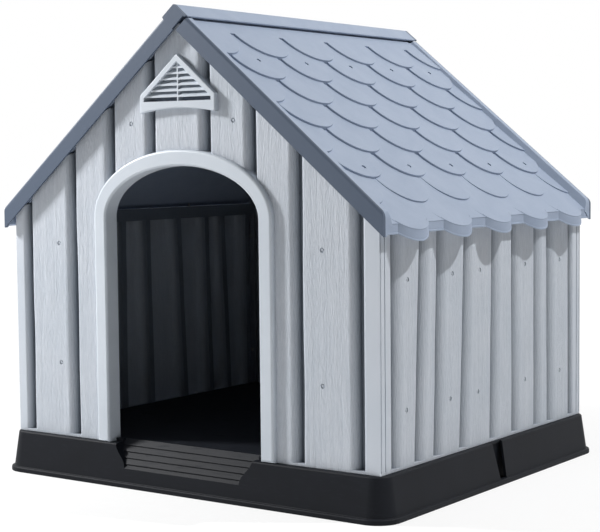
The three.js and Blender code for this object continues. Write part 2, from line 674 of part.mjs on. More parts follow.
/** A roof panel on the +X side. One panel caps the ridge, the other tucks under that cap. */
function roofPanel(capsRidge) {
  const across = 2 * rakeY;
  const seat = sideWallTop + FIT;
  const screwX = wallX - pocket;
  const screwYs = screwPlanks.map((plank) => sidePlankCentre(plank, 1));
  const tip = sideWallTop - SHELL + SCREW_LENGTH;
  const tiles = block([0, -across, -EAVE_DROP - BITE], [across, across, across], SLOPE);
  const bosses = screwYs.map((y) => post(screwX, y, seat, RIDGE_HEIGHT, BOSS_RADIUS).subtract(tiles));
  const pilots = screwYs.map((y) => post(screwX, y, seat - SHELL, tip, SCREW_RADIUS + FIT));

  const start = capsRidge ? CAP_REACH - SHELL : 0;
  const rakes = [-1, 1].map((side) => rake(side, start, straightEave + 2 * RAKE_HEIGHT, 0));
  const deck = tiledDeck(capsRidge ? SHELL : RIDGE_TUCK);
  const panel = cut(joined([deck, ...rakes, eaveFace(), ...bosses]), pilots);
  if (capsRidge) {
    const beyondLap = block([-across, -across, CAP_RISE - BITE], [across, across, across], OTHER_SLOPE);
    const raised = [-1, 1].map((side) => rake(side, -2 * RAKE_HEIGHT, CAP_REACH, CAP_RISE));
    return joined([panel, ...raised.map((end) => end.subtract(beyondLap)), ridgeCap()]);
  }
  const otherRake = CAP_RISE - RAKE_HEIGHT - RAKE_END_GAP;
  const clear = rakeY - RAKE_FOOT - FIT;
  const ends = [-1, 1].map((side) => {
    const from = side < 0 ? -across : clear;
    return block([-across, from, otherRake], [across, from + across - clear, across], OTHER_SLOPE);
  });
  return cut(panel, ends);
}

// ---- Base tray ----------------------------------------------------------------------------

/** The tray's outline in plan, grown by `grow` beyond the edge of its ledge. */
function trayOutline(grow) {
  const halfX = wallX + LEDGE_WIDTH + grow;
  return roundedRectangle(halfX, wallY + LEDGE_WIDTH_FRONT + grow, TRAY_CORNER + grow);
}

/** The step's tread in a side outline, as lapped bands: everything in front of it. */
function stepSide(inset) {
  const lip = -wallY - trayReach;
  const back = -wallY + STEP_BACK;
  const rise = floorHeight - STEP_LIP_HEIGHT;
  const bandRise = rise / STEP_BANDS;
  const bandRun = STEP_RUN / STEP_BANDS;
  const tread = [];
  for (let band = 0; band < STEP_BANDS; band += 1) {
    const low = STEP_LIP_HEIGHT + band * bandRise - inset;
    const near = back - STEP_RUN + band * bandRun + inset;
    tread.push(point(near - STEP_LAP, low), point(near + bandRun, low + bandRise));
  }
  const top = floorHeight + SHELL;
  return [point(lip, STEP_LIP_HEIGHT - inset), ...tread, point(back + inset, top), point(lip, top)];
}

/** The step's recess, `inset` bigger all round. */
function stepRecess(inset) {
  const front = -wallY - trayReach;
  const rear = -wallY + trayReach;
  const low = STEP_LIP_HEIGHT - SHELL;
  const high = floorHeight + SHELL;
  const lean = (STEP_TOP_HALF - STEP_LIP_HALF) / (floorHeight - STEP_LIP_HEIGHT);
  const half = (height) => STEP_LIP_HALF + inset + lean * (height - STEP_LIP_HEIGHT);
  const ring = (x) => [point(-x, front), point(x, front), point(x, rear), point(-x, rear)];
  const cheeks = loft(ring(half(low)), ring(half(high)), low, high);
  return cheeks.intersect(prism(stepSide(inset), -2 * STEP_TOP_HALF, 2 * STEP_TOP_HALF, SIDE));
}

/** Crossing ribs under the floor, out to x and y and up to z. */
function crossRibs([x, y, z]) {
  const foot = LEDGE_HEIGHT - TRAY_RIB_HEIGHT;
  return [-TRAY_RIB_SPACING, 0, TRAY_RIB_SPACING].flatMap((at) => [
    block([at - SHELL / 2, -y, foot], [at + SHELL / 2, y, z]),
    block([-x, at - SHELL / 2, foot], [x, at + SHELL / 2, z]),
  ]);
}

/** The slot in the skirt on one side, from the ledge down to the bead. */
function skirtSlot(side) {
  const outline = [point(SLOT_TOP[0], LEDGE_HEIGHT + BITE), point(SLOT_TOP[1], LEDGE_HEIGHT + BITE),
    point(SLOT_FOOT[1], BEAD_HEIGHT), point(SLOT_FOOT[0], BEAD_HEIGHT)];
  const near = wallX + LEDGE_WIDTH - BITE;
  const far = near + trayReach;
  return side > 0 ? prism(outline, near, far, SIDE) : prism(outline, -far, -near, SIDE);
}

function baseTray() {
  const shoulderFoot = LEDGE_HEIGHT - SHOULDER;
  const shoulderMiddle = LEDGE_HEIGHT - SHOULDER * (1 - Math.SQRT1_2);
  const flared = SHOULDER + SKIRT_FLARE;
  const rounded = trayOutline(SHOULDER * Math.SQRT1_2);
  const outer = joined([
    prism(trayOutline(flared + BEAD_REACH), 0, BEAD_HEIGHT),
    loft(trayOutline(flared), trayOutline(SHOULDER), BEAD_HEIGHT - BITE, shoulderFoot),
    loft(trayOutline(SHOULDER), rounded, shoulderFoot, shoulderMiddle),
    loft(rounded, trayOutline(0), shoulderMiddle, LEDGE_HEIGHT),
  ]);
  const floorX = wallX - wallBand - FIT;
  const floorY = wallY - wallBand - FIT;
  const threshold = DOOR_HALF - FIT;
  const solidTray = joined([
    outer,
    block([-floorX, -floorY, shoulderFoot], [floorX, floorY, floorHeight]),
    block([-threshold, -floorY - SILL_REACH, shoulderFoot], [threshold, 0, floorHeight]),
  ]);
  const hollowX = floorX - SHELL;
  const hollowY = floorY - SHELL;
  const underside = joined([
    loft(trayOutline(flared - SHELL), trayOutline(SHOULDER - SHELL), -SHELL, LEDGE_HEIGHT - SHELL),
    block([-hollowX, -hollowY, 0], [hollowX, hollowY, floorHeight - SHELL]),
  ]);
  const parts = [
    solidTray.subtract(underside),
    stepRecess(SHELL).intersect(solidTray),
    ...crossRibs([wallX, wallY, LEDGE_HEIGHT - BITE]),
    ...crossRibs([floorX, floorY, floorHeight - BITE]),
  ];
  const holes = [stepRecess(0), skirtSlot(-1), skirtSlot(1)];
  const bossFoot = LEDGE_HEIGHT - SCREW_LENGTH - SHELL;
  for (const [x, y] of footScrews()) {
    parts.push(post(x, y, bossFoot, LEDGE_HEIGHT - BITE, BOSS_RADIUS));
    holes.push(post(x, y, 0, LEDGE_HEIGHT + SHELL, holeRadius));
  }
  return cut(joined(parts), holes);
}

// ---- Screws -------------------------------------------------------------------------------

/** A pan-head screw, tip down, with the underside of its head at the origin. */
function screw() {
  const profile = [point(0, -SCREW_LENGTH), point(SCREW_RADIUS, SCREW_POINT - SCREW_LENGTH),
    point(SCREW_RADIUS, 0), point(SCREW_HEAD, 0), point(SCREW_HEAD_TOP, SCREW_HEAD_HEIGHT),
    point(0, SCREW_HEAD_HEIGHT)];
  const geometry = new THREE.LatheGeometry(profile, ROUND_SIDES);
  geometry.rotateX(Math.PI / 2);
  return solid(geometry);
}

/** Where the foot screws go down into the tray, in plan. */
function footScrews() {
  const places = [];
  for (const plank of [0, FRONT_PLANKS.length - 1]) {
    const x = frontPlankCentre(plank);
    places.push([x, -wallY + pocket], [-x, wallY - pocket]);
  }
  for (const plank of screwPlanks) {
    const y = sidePlankCentre(plank, -1);
    places.push([wallX - pocket, y], [-wallX + pocket, -y]);
  }
  return places;
}

/** A placed screw whose head faces the way that `tilt` about X turns it. */
function placedScrew(name, [x, y, z], tilt) {
  const mesh = piece(name, screw(), zincSteel);
  mesh.position.set(x, y, z);
  mesh.rotation.x = tilt;
  return mesh;
}

// ---- Assembly -----------------------------------------------------------------------------

const kennel = new THREE.Group();
kennel.name = 'dog_house';

const turned = (mesh) => {
  mesh.rotation.z = Math.PI;
  return mesh;
};

kennel.add(
  piece('base_tray', baseTray(), trayPlastic),
  piece('front_panel', gableWall(true), wallPlastic),
  turned(piece('rear_panel', gableWall(false), wallPlastic)),
  piece('side_panel_right', sideWall(), wallPlastic),
  turned(piece('side_panel_left', sideWall(), wallPlastic)),
  piece('gable_vent_front', gableVent(), trimPlastic),
  turned(piece('gable_vent_rear', gableVent(), trimPlastic)),
  piece('roof_panel_right', roofPanel(false), roofPlastic),
  turned(piece('roof_panel_left', roofPanel(true), roofPlastic)),
);

const fasteners = new THREE.Group();
footScrews().forEach(([x, y], i) => {
  fasteners.add(placedScrew(`foot_screw_${i + 1}`, [x, y, wallFoot + FOOT_RAIL + FIT], 0));
});
let corner = 0;
for (const [sideX, sideY] of [[1, -1], [1, 1], [-1, -1], [-1, 1]]) {
  for (const height of cornerScrewHeights) {
    corner += 1;
    const y = sideY * (sideEnd - SHELL - FIT);
    const place = [sideX * (wallX - pocket), y, height];
    fasteners.add(placedScrew(`corner_screw_${corner}`, place, (sideY * Math.PI) / 2));
  }
}
screwPlanks.forEach((plank, i) => {
  const x = wallX - pocket;
  const y = sidePlankCentre(plank, 1);
  const z = sideWallTop - SHELL - FIT;
  fasteners.add(placedScrew(`roof_screw_right_${i + 1}`, [x, y, z], Math.PI));
  fasteners.add(placedScrew(`roof_screw_left_${i + 1}`, [-x, -y, z], Math.PI));
});
kennel.add(fasteners);

export default kennel;
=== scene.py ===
"""Looks of the plank-walled plastic dog house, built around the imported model.

Shapes are worked out in millimetres in the model's own frame and scaled to metres at the end.
"""

import math

import bmesh
import bpy
from mathutils import Matrix, Vector, noise


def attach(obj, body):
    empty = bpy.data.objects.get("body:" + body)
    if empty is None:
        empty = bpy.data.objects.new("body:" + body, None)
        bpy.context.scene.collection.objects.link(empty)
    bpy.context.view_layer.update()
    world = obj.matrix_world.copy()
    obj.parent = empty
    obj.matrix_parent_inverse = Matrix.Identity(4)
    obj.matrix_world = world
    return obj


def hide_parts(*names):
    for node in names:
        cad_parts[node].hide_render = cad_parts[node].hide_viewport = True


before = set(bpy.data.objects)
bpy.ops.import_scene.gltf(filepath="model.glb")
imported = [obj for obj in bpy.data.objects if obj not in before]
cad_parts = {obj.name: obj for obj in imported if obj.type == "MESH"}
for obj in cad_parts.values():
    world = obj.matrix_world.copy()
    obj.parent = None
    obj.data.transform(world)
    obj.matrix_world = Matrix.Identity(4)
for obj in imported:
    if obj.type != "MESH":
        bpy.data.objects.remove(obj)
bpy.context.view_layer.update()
MM = 0.001

# ---- Sizes shared with the model, in millimetres -------------------------------------------

WALL_X = 394.0
WALL_Y = 354.6
RIDGE_HEIGHT = 823.5
PITCH = math.radians(39.6)
SHELL = 4.0  # thickness of every moulding
FIT = 0.3  # gap between two mouldings
BITE = 1.0  # how far joined forms run into each other
CUT_REACH = 80.0  # how far a cut runs past the outside

LEDGE_HEIGHT = 73.6
FLOOR_HEIGHT = 79.0
LEDGE_X = 6.5
LEDGE_Y = 6.0
SHOULDER = 4.0
SKIRT_FLARE = 9.0
BEAD_HEIGHT = 9.0
BEAD_REACH = 5.5
BEAD_ROUND = 3.0
BEAD_FOOT = 0.8
BEAD_SEAM = ((0.8, 0.2), (-0.2, 1.4))  # out from the skirt and up from the bead
TRAY_CORNER = 24.0
TRAY_RIB_SPACING = 240.0
TRAY_RIB_HEIGHT = 34.0

STEP_TOP_HALF = 150.0
STEP_LIP_HALF = 126.0
STEP_LIP_HEIGHT = 29.5
STEP_RUN = 33.5
STEP_BACK = 18.0
STEP_BANDS = 5
STEP_LAP = 2.5
STEP_NOSE = (0.4, 0.9)
STEP_CURVE = 0.16
SILL_REACH = 12.0
SLOT_TOP = (-13.0, 23.0)
SLOT_FOOT = (1.0, 22.0)

GROOVE_DEPTH = 17.0
GROOVE_SHOULDER = 9.0
FRONT_EASE = (6.0, 0.0)  # how much wider the shoulders before and after a groove are
SIDE_EASE = (0.0, 17.0)
FOOT_RAIL = 4.0
FRONT_GROOVE = 27.5
FRONT_STRIPS = (17.0, 25.5)
FRONT_PLANKS = (83.2, 66.7, 65.1, 92.7, 67.4, 62.4, 88.0)
SIDE_GROOVE = 24.0
SIDE_STRIP = 16.0
SIDE_PLANKS = (54.0, 32.8, 63.2, 75.7, 51.7, 61.4, 28.3, 64.2)
SIDE_LEANS = (9.0, 6.5, 9.5, 4.5, -1.3, 0.0, -1.3, -1.3)
CORNER_RETURN = 13.1
TOP_RAIL = 23.0

DOOR_HALF = 166.0
DOOR_SPRING = 468.9
DOOR_RISE = 88.6
SURROUND_WIDTH = 27.5
SURROUND_ROUND = 5.0
TRIM_RISE = 9.0
DOOR_FLARE = ((0.0, 4.5), (0.5, 2.6), (1.5, 1.2), (3.2, 0.0), (3.2, -SHELL))  # out and inwards

VENT_APEX = 744.0
VENT_FOOT = 646.9
VENT_HALF = 81.1
VENT_ARCH = 7.4
VENT_RAKE_BAR = 9.2
VENT_SIDE_BAR = 8.4
VENT_SILL = 665.9
VENT_HIDDEN = 0.5
VENT_ROUND = 2.0
VENT_PLATE = 3.0
SLATS = 6
SLAT_PITCH = 9.57
SLAT_EDGE = 3.0
SLAT_RUN = 14.0
SLAT_SOCKET = 1.5
VENT_RIB = 2.5

RAKE_OVERHANG = 13.4
EAVE_REACH = 16.0
RAKE_HEIGHT = 28.8
RAKE_TOP = 18.0
RAKE_FOOT = 27.0
RAKE_INNER = 17.5
RAKE_EDGE = 5.0
# How far in from the rakes' outer faces their painted shade reaches.
RAKE_SHADE_DEPTH = 6.0
RAKE_SHOULDER = ((2.0, 0.0), (0.5, -0.6), (-0.6, -2.6))  # out from its flat top and up
RAKE_NOSE = 18.0
TILE_WIDTH = 139.5
TILE_GAP = 13.0
TILE_SHIFT = 11.0
TILE_ROWS = 8
TILE_PITCH = 62.4
TILE_TILT = 2.2
DECK_LEAST = 3.0
FIRST_ROW_DROP = 1.8
EAVE_DROP = 13.8
SCALLOP_REACH = 18.0
EAVE_DEPTH = 26.8
CAP_REACH = 31.0
CAP_RISE = 2.2
CAP_EDGE = 0.8
RIDGE_FLAT = 2.0
RIDGE_TUCK = 9.0
RAKE_END_GAP = 7.0

# ---- Fineness and hand-made unevenness ------------------------------------------------------

TILE_STEPS = 28
ARCH_STEPS = 64
SILL_STEPS = 24
CORNER_STEPS = 12
EDGE_STEPS = 6
BEAD_STEPS = 4
SHOULDER_STEPS = 7
FACE_STEPS = 6
WALL_LEVELS = 44
PLANK_WAVE = 1.3
PLANK_WAVE_LENGTH = 120.0
PLANK_CROWN = 0.27
PLANK_RELIEF = 0.45
TILE_RIM = 0.9
LIP = 1.8  # bead along the foot of the eave's face
LIP_REACH = 1.2
SEAM = 2.2  # shadow line beside a corner, across
SEAM_DEPTH = 2.0
# Reach of the dark plate behind each slot, which stands in for the shade inside the tray.
SLOT_SHADE_PLATE = 30.0
NAIL_DISH = 4.2
NAIL_HEAD = 2.7
NAIL_DEPTH = 2.3
NAIL_FLATTENED = 0.6
NAIL_SIDES = 16
FRONT_NAILS = ((-287.0, 421.0), (-287.0, 206.0), (-110.0, 630.0),
               (111.5, 631.5), (286.0, 423.5), (285.3, 207.0))
SIDE_NAIL_BOARDS = (1, 3, 4, 6, 8)
SIDE_NAIL_HEIGHTS = (375.0, 167.0)
TILE_NAILS = {1: 52.0, 5: 26.0}  # row and distance above its foot
SMOOTH_ANGLE = math.radians(32)

# ---- Places worked out from them ------------------------------------------------------------

COS_PITCH = math.cos(PITCH)
SIN_PITCH = math.sin(PITCH)
TAN_PITCH = math.tan(PITCH)
WALL_BAND = GROOVE_DEPTH + SHELL
WALL_FOOT = LEDGE_HEIGHT + FIT
CORNER_JOINT = WALL_Y - CORNER_RETURN
SIDE_END = CORNER_JOINT - FIT
RAKE_Y = WALL_Y + RAKE_OVERHANG
EAVE_X = WALL_X + EAVE_REACH
TILE_RADIUS = (TILE_WIDTH - TILE_GAP) / 2
DECK_DEPTH = FIRST_ROW_DROP + 2 * TILE_TILT + DECK_LEAST
EAVE_DECK_DEPTH = DECK_DEPTH + EAVE_DROP - FIRST_ROW_DROP
FAR = 2000.0


def roof_height(x, normal=0.0):
    """Height of the roof's plane at x, or of a plane that lies `normal` above it."""
    return RIDGE_HEIGHT - x * TAN_PITCH + normal / COS_PITCH


def down_slope(x, normal):
    """Distance down the slope to x on the plane that lies `normal` above the roof's."""
    return (x - normal * SIN_PITCH) / COS_PITCH


STRAIGHT_EAVE = down_slope(EAVE_X, -EAVE_DROP)
LAST_FOOT = STRAIGHT_EAVE + SCALLOP_REACH
ROW_DROP = (EAVE_DROP - FIRST_ROW_DROP) / TILE_ROWS
TILT = math.atan2(TILE_TILT, TILE_PITCH)


def row_top(row):
    return -FIRST_ROW_DROP - ROW_DROP * row


def row_foot(row):
    return LAST_FOOT - TILE_PITCH * (TILE_ROWS - 1 - row)


def deck_underside(x):
    """Height of the deck's flat underside, which falls away from the roof's plane with the rows."""
    return roof_height(x, -DECK_DEPTH - (EAVE_DECK_DEPTH - DECK_DEPTH) * x / EAVE_X)


SIDE_WALL_TOP = deck_underside(WALL_X) - FIT


def basis(u, v, w, origin=(0.0, 0.0, 0.0)):
    """The matrix of a frame whose axes u, v and w point along the given vectors."""
    matrix = Matrix((u, v, w)).transposed().to_4x4()
    matrix.translation = origin
    return matrix


X, Y, Z = Vector((1, 0, 0)), Vector((0, 1, 0)), Vector((0, 0, 1))
DOWN = Vector((COS_PITCH, 0, -SIN_PITCH))
NORMAL = Vector((SIN_PITCH, 0, COS_PITCH))
RIDGE = (0.0, 0.0, RIDGE_HEIGHT)
PLAN = basis(X, Y, Z)
FRONT = basis(X, Z, -Y)
SIDE = basis(Y, Z, X)
SLOPE = basis(DOWN, Y, NORMAL, RIDGE)
RAKE = basis(Y, NORMAL, DOWN, RIDGE)
HALF_TURN = Matrix.Rotation(math.pi, 4, "Z")
OTHER_SLOPE = HALF_TURN @ SLOPE


# ---- Solids ---------------------------------------------------------------------------------


class Solid:
    """A closed form in millimetres that others can be joined to, cut from it or laid over it."""

    def __init__(self, form):
        bmesh.ops.recalc_face_normals(form, faces=form.faces[:])
        self.mesh = bpy.data.meshes.new("solid")
        form.to_mesh(self.mesh)
        form.free()

    def _combine(self, operation, others):
        carrier = shown("carrier", self.mesh)
        tools = [shown("tool", other.mesh) for other in others]
        for tool in tools:
            step = carrier.modifiers.new("step", "BOOLEAN")
            step.operation = operation
            step.solver = "MANIFOLD"
            step.object = tool
        graph = bpy.context.evaluated_depsgraph_get()
        self.mesh = bpy.data.meshes.new_from_object(carrier.evaluated_get(graph))
        for spent in [carrier, *tools]:
            bpy.data.objects.remove(spent)
        return self

    def join(self, *others):
        return self._combine("UNION", others)

    def cut(self, *others):
        return self._combine("DIFFERENCE", others)

    def within(self, *others):
        return self._combine("INTERSECT", others)

    def moved(self, matrix):
        self.mesh.transform(matrix)
        return self

    def copy(self, matrix):
        twin = object.__new__(Solid)
        twin.mesh = self.mesh.copy()
        return twin.moved(matrix)


def shown(name, data):
    """An object with that mesh, lamp or lens in the scene."""
    thing = bpy.data.objects.new(name, data)
    bpy.context.scene.collection.objects.link(thing)
    return thing


def swept_parts(result, kind):
    return [part for part in result["geom"] if isinstance(part, kind)]


def prism(outline, start, end, axes=PLAN, rim=0.0, rim_steps=3):
    """An outline (u, v) swept from w = start to w = end; the edge at its end may be rounded."""
    form = bmesh.new()
    face = form.faces.new([form.verts.new((u, v, start)) for u, v in outline])
    swept = bmesh.ops.extrude_face_region(form, geom=[face])
    verts = swept_parts(swept, bmesh.types.BMVert)
    bmesh.ops.translate(form, vec=(0, 0, end - start), verts=verts)
    if rim:
        edges = swept_parts(swept, bmesh.types.BMEdge)
        bmesh.ops.bevel(form, geom=edges, offset=rim, offset_type="OFFSET", segments=rim_steps,
                        profile=0.5, affect="EDGES", material=-1, clamp_overlap=True)
    bmesh.ops.transform(form, matrix=axes, verts=form.verts)
    return Solid(form)


def front_prism(outline, y_start, y_end, rim=0.0):
    """An (x, z) outline swept along Y; a rim is at its front end."""
    return prism(outline, -y_end, -y_start, FRONT, rim)


def block(low, high, axes=PLAN):
    """A box between two corners of (u, v, w) in the given frame."""
    form = bmesh.new()
    centre = [(a + b) / 2 for a, b in zip(low, high)]
    size = Matrix.Diagonal([b - a for a, b in zip(low, high)]).to_4x4()
    bmesh.ops.create_cube(form, size=1, matrix=Matrix.Translation(centre) @ size)
    bmesh.ops.transform(form, matrix=axes, verts=form.verts)
    return Solid(form)


def stacked(rings):
    """A closed form through rings with as many points, each an (outline, height), lowest first."""
    form = bmesh.new()
    outline, height = rings[0]
    cap = form.faces.new([form.verts.new((x, y, height)) for x, y in outline])
    corners = list(cap.verts)
    for ring, (outline, height) in enumerate(rings[1:]):
        swept = bmesh.ops.extrude_face_region(form, geom=[cap])
        if ring:
            bmesh.ops.delete(form, geom=[cap], context="FACES_ONLY")
        cap = swept_parts(swept, bmesh.types.BMFace)[0]
        raised = {}
        for side in cap.edges:
            for wall in side.link_faces:
                for edge in wall.edges if wall is not cap else ():
                    ends = [v for v in edge.verts if v in cap.verts]
                    if len(ends) == 1:
                        raised[edge.other_vert(ends[0])] = ends[0]
        corners = [raised[corner] for corner in corners]
        for corner, (x, y) in zip(corners, outline):
            corner.co = (x, y, height)
    return Solid(form)


def nailed(wall, frames):
    """The wall with a nail's head in a small dish at each frame's origin."""
    last = 2 * math.pi * (NAIL_SIDES - 1) / NAIL_SIDES
    circle = arc((0.0, 0.0), (NAIL_DISH, NAIL_DISH), 0, last, NAIL_SIDES - 1)
    dishes = [prism(circle, -NAIL_DEPTH, NAIL_DEPTH, place) for place in frames]
    heads = []
    for place in frames:
        form = bmesh.new()
        flattened = Matrix.Diagonal((1, 1, NAIL_FLATTENED, 1))
        seat = place @ Matrix.Translation((0, 0, -NAIL_DEPTH)) @ flattened
        bmesh.ops.create_uvsphere(form, u_segments=12, v_segments=8, radius=NAIL_HEAD, matrix=seat)
        heads.append(Solid(form))
    return wall.cut(dishes[0].join(*dishes[1:])).join(heads[0].join(*heads[1:]))


def arc(centre, radii, start, end, steps):
    """Points on an arc round a centre, both ends included."""
    (x, y), (reach_x, reach_y) = centre, radii
    angles = [start + (end - start) * i / steps for i in range(steps + 1)]
    return [(x + reach_x * math.cos(angle), y + reach_y * math.sin(angle)) for angle in angles]


def rounded_rectangle(half_x, half_y, radius):
    x, y = half_x - radius, half_y - radius
    quarter = math.pi / 2
    points = []
    for turn, centre in enumerate(((x, y), (-x, y), (-x, -y), (x, -y))):
        points += arc(centre, (radius, radius), turn * quarter, (turn + 1) * quarter, CORNER_STEPS)
    return points


# ---- Planked walls --------------------------------------------------------------------------


def offset_line(line, distance):
    """The same open line, moved sideways to its left, with mitred corners."""
    moved = []
    points = [Vector(p) for p in line]
    for i, p in enumerate(points):
        arriving = (p - points[i - 1] if i else points[1] - p).normalized()
        leaving = (points[i + 1] - p).normalized() if i < len(points) - 1 else arriving
        bisector = Vector((-arriving.y - leaving.y, arriving.x + leaving.x))
        moved.append(tuple(p + bisector * (2 * distance / bisector.length_squared)))
    return moved


def lay_grooves(start, end, strips, shares, groove):
    """Start and end of each groove, from the two end strips and the planks' shares of the rest."""
    free = end - start - sum(strips) - (len(shares) + 1) * groove
    grooves = []
    run = start + strips[0]
    for share in (*shares, 0.0):
        grooves.append((run, run + groove))
        run += groove + share * free / sum(shares)
    return grooves


def hand_wave(edge, height):
    """How far a plank's edge wanders sideways at a height; each edge has its own row of noise."""
    long_wave = noise.noise(Vector((7.3 * edge, height / PLANK_WAVE_LENGTH, 0.5)))
    short_wave = noise.noise(Vector((3.1 * edge, 3.2 * height / PLANK_WAVE_LENGTH, 8.5)))
    return PLANK_WAVE * (long_wave + 0.3 * short_wave)


def plank_line(grooves, leans, level, height, eased):
    """(run, depth) points across a planked face at one height.

    `level` runs from -1 at the foot to 1 at the top, and `eased` widens the shoulders.
    """
    shoulder = []
    for i in range(SHOULDER_STEPS + 1):
        angle = math.pi / 2 * i / SHOULDER_STEPS
        shoulder.append((math.sin(angle), GROOVE_DEPTH * (1 - math.cos(angle))))
    points = []
    for groove, (start, end) in enumerate(grooves):
        near = start + level * leans[groove]
        far = end + level * leans[groove]
        before = after = GROOVE_SHOULDER
        if groove > 0:
            before += eased[0]
            near += hand_wave(2 * groove, height) + GROOVE_SHOULDER - before
        if groove < len(grooves) - 1:
            after += eased[1]
            far += hand_wave(2 * groove + 1, height) + after - GROOVE_SHOULDER
        if points:
            plank_start = points[-1][0]
            for i in range(1, FACE_STEPS):
                share = i / FACE_STEPS
                run = plank_start + (near - plank_start) * share
                relief = PLANK_RELIEF * (1 + noise.noise(Vector((0.04 * run, height / 60, 3.0))))
                points.append((run, PLANK_CROWN * (1 - 4 * share * (1 - share)) + relief))
        points += [(near + before * run, depth) for run, depth in shoulder]
        points += [(far - after * run, depth) for run, depth in reversed(shoulder)]
    return points


def sheet_solid(line_at, foot, top):
    """A wall of even thickness whose outer line in plan changes with the height."""
    rings = []
    for i in range(WALL_LEVELS + 1):
        level = i / WALL_LEVELS
        height = foot + (top - foot) * level
        outer = line_at(2 * level - 1, height)
        rings.append((outer + offset_line(outer, SHELL)[::-1], height))
    return stacked(rings)


def door_outline(grow, foot):
    half = DOOR_HALF + grow
    arch = arc((0.0, DOOR_SPRING), (half, DOOR_RISE + grow), 0, math.pi, ARCH_STEPS)
    return [(half, foot), *arch, (-half, foot)]


def vent_outline(inset):
    half = VENT_HALF - inset
    apex = VENT_APEX - inset / COS_PITCH
    radius = (VENT_HALF ** 2 + VENT_ARCH ** 2) / (2 * VENT_ARCH)
    centre = VENT_FOOT + VENT_ARCH - radius
    reach = math.asin(half / (radius + inset))
    up = math.pi / 2
    foot = arc((0.0, centre), (radius + inset, radius + inset), up + reach, up - reach, SILL_STEPS)
    shoulder = apex - half * TAN_PITCH
    return [*foot, (half, shoulder), (0.0, apex), (-half, shoulder)]


def louvre_outline(grow):
    half = VENT_HALF - VENT_SIDE_BAR + grow
    apex = VENT_APEX - (VENT_RAKE_BAR - grow) / COS_PITCH
    shoulder = apex - half * TAN_PITCH
    foot = VENT_SILL - grow
    return [(-half, foot), (half, foot), (half, shoulder), (0.0, apex), (-half, shoulder)]


FRONT_GROOVES = lay_grooves(-WALL_X, WALL_X, FRONT_STRIPS, FRONT_PLANKS, FRONT_GROOVE)
SIDE_GROOVES = lay_grooves(-SIDE_END, SIDE_END, (SIDE_STRIP, SIDE_STRIP), SIDE_PLANKS, SIDE_GROOVE)


def gable_wall(has_door):
    """A gable wall facing -Y, with the hole and collar for its vent."""
    face, back = -WALL_Y, -WALL_Y + WALL_BAND
    corner = -CORNER_JOINT
    flange = WALL_X - WALL_BAND
    level_leans = [0.0] * len(FRONT_GROOVES)

    def line_at(level, height):
        planks = plank_line(FRONT_GROOVES, level_leans, level, height, FRONT_EASE)
        left = [(-flange, corner), (-WALL_X, corner), (-WALL_X, face)]
        right = [(WALL_X, face), (WALL_X, corner), (flange, corner)]
        return left + [(run, face + depth) for run, depth in planks] + right

    beyond = WALL_X + SHELL
    top = -EAVE_DECK_DEPTH - FIT
    eave, peak = roof_height(beyond, top), roof_height(0.0, top)
    gable = [(-beyond, WALL_FOOT), (beyond, WALL_FOOT),
             (beyond, eave), (0.0, peak), (-beyond, eave)]
    under_roof = front_prism(gable, face - SHELL, back + SHELL)
    rail_top = WALL_FOOT + FOOT_RAIL
    rail_end = flange - FIT
    whole = sheet_solid(line_at, WALL_FOOT, RIDGE_HEIGHT).join(
        block((-rail_end, face, WALL_FOOT), (rail_end, back, rail_top)),
        block((-WALL_X, face, WALL_FOOT), (WALL_X, corner, rail_top)),
        front_prism(vent_outline(VENT_HIDDEN), face, back))
    holes = [front_prism(vent_outline(VENT_HIDDEN + SHELL), face - SHELL, back + SHELL)]
    if has_door:
        gap = door_outline(SURROUND_WIDTH + FIT, WALL_FOOT - SHELL)
        holes.append(front_prism(gap, face - SHELL, back + SHELL))
    for side in (-1, 1):
        low, high = sorted((side * (WALL_X - SEAM_DEPTH), side * (WALL_X + SHELL)))
        seam = face + SEAM
        holes.append(block((low, seam - SEAM / 2, rail_top), (high, seam + SEAM / 2, RIDGE_HEIGHT)))
    whole.cut(*holes).within(under_roof)
    nails = [FRONT @ Matrix.Translation((x, z, WALL_Y)) for x, z in FRONT_NAILS]
    return nailed(whole, nails)


def door_surround():
    """The arched frame round the doorway, rounded outside and flared inside."""
    face, back = -WALL_Y, -WALL_Y + WALL_BAND
    proud = face - TRIM_RISE
    below = WALL_FOOT - SHELL
    outline = door_outline(SURROUND_WIDTH, WALL_FOOT)
    ring = prism(outline, -back, -proud, FRONT, SURROUND_ROUND, EDGE_STEPS)
    flare = stacked([(door_outline(grow, below), -(proud + behind)) for grow, behind in DOOR_FLARE])
    doorway = front_prism(door_outline(0.0, below), proud - SHELL, back + SHELL)
    return ring.cut(flare.moved(FRONT), doorway)


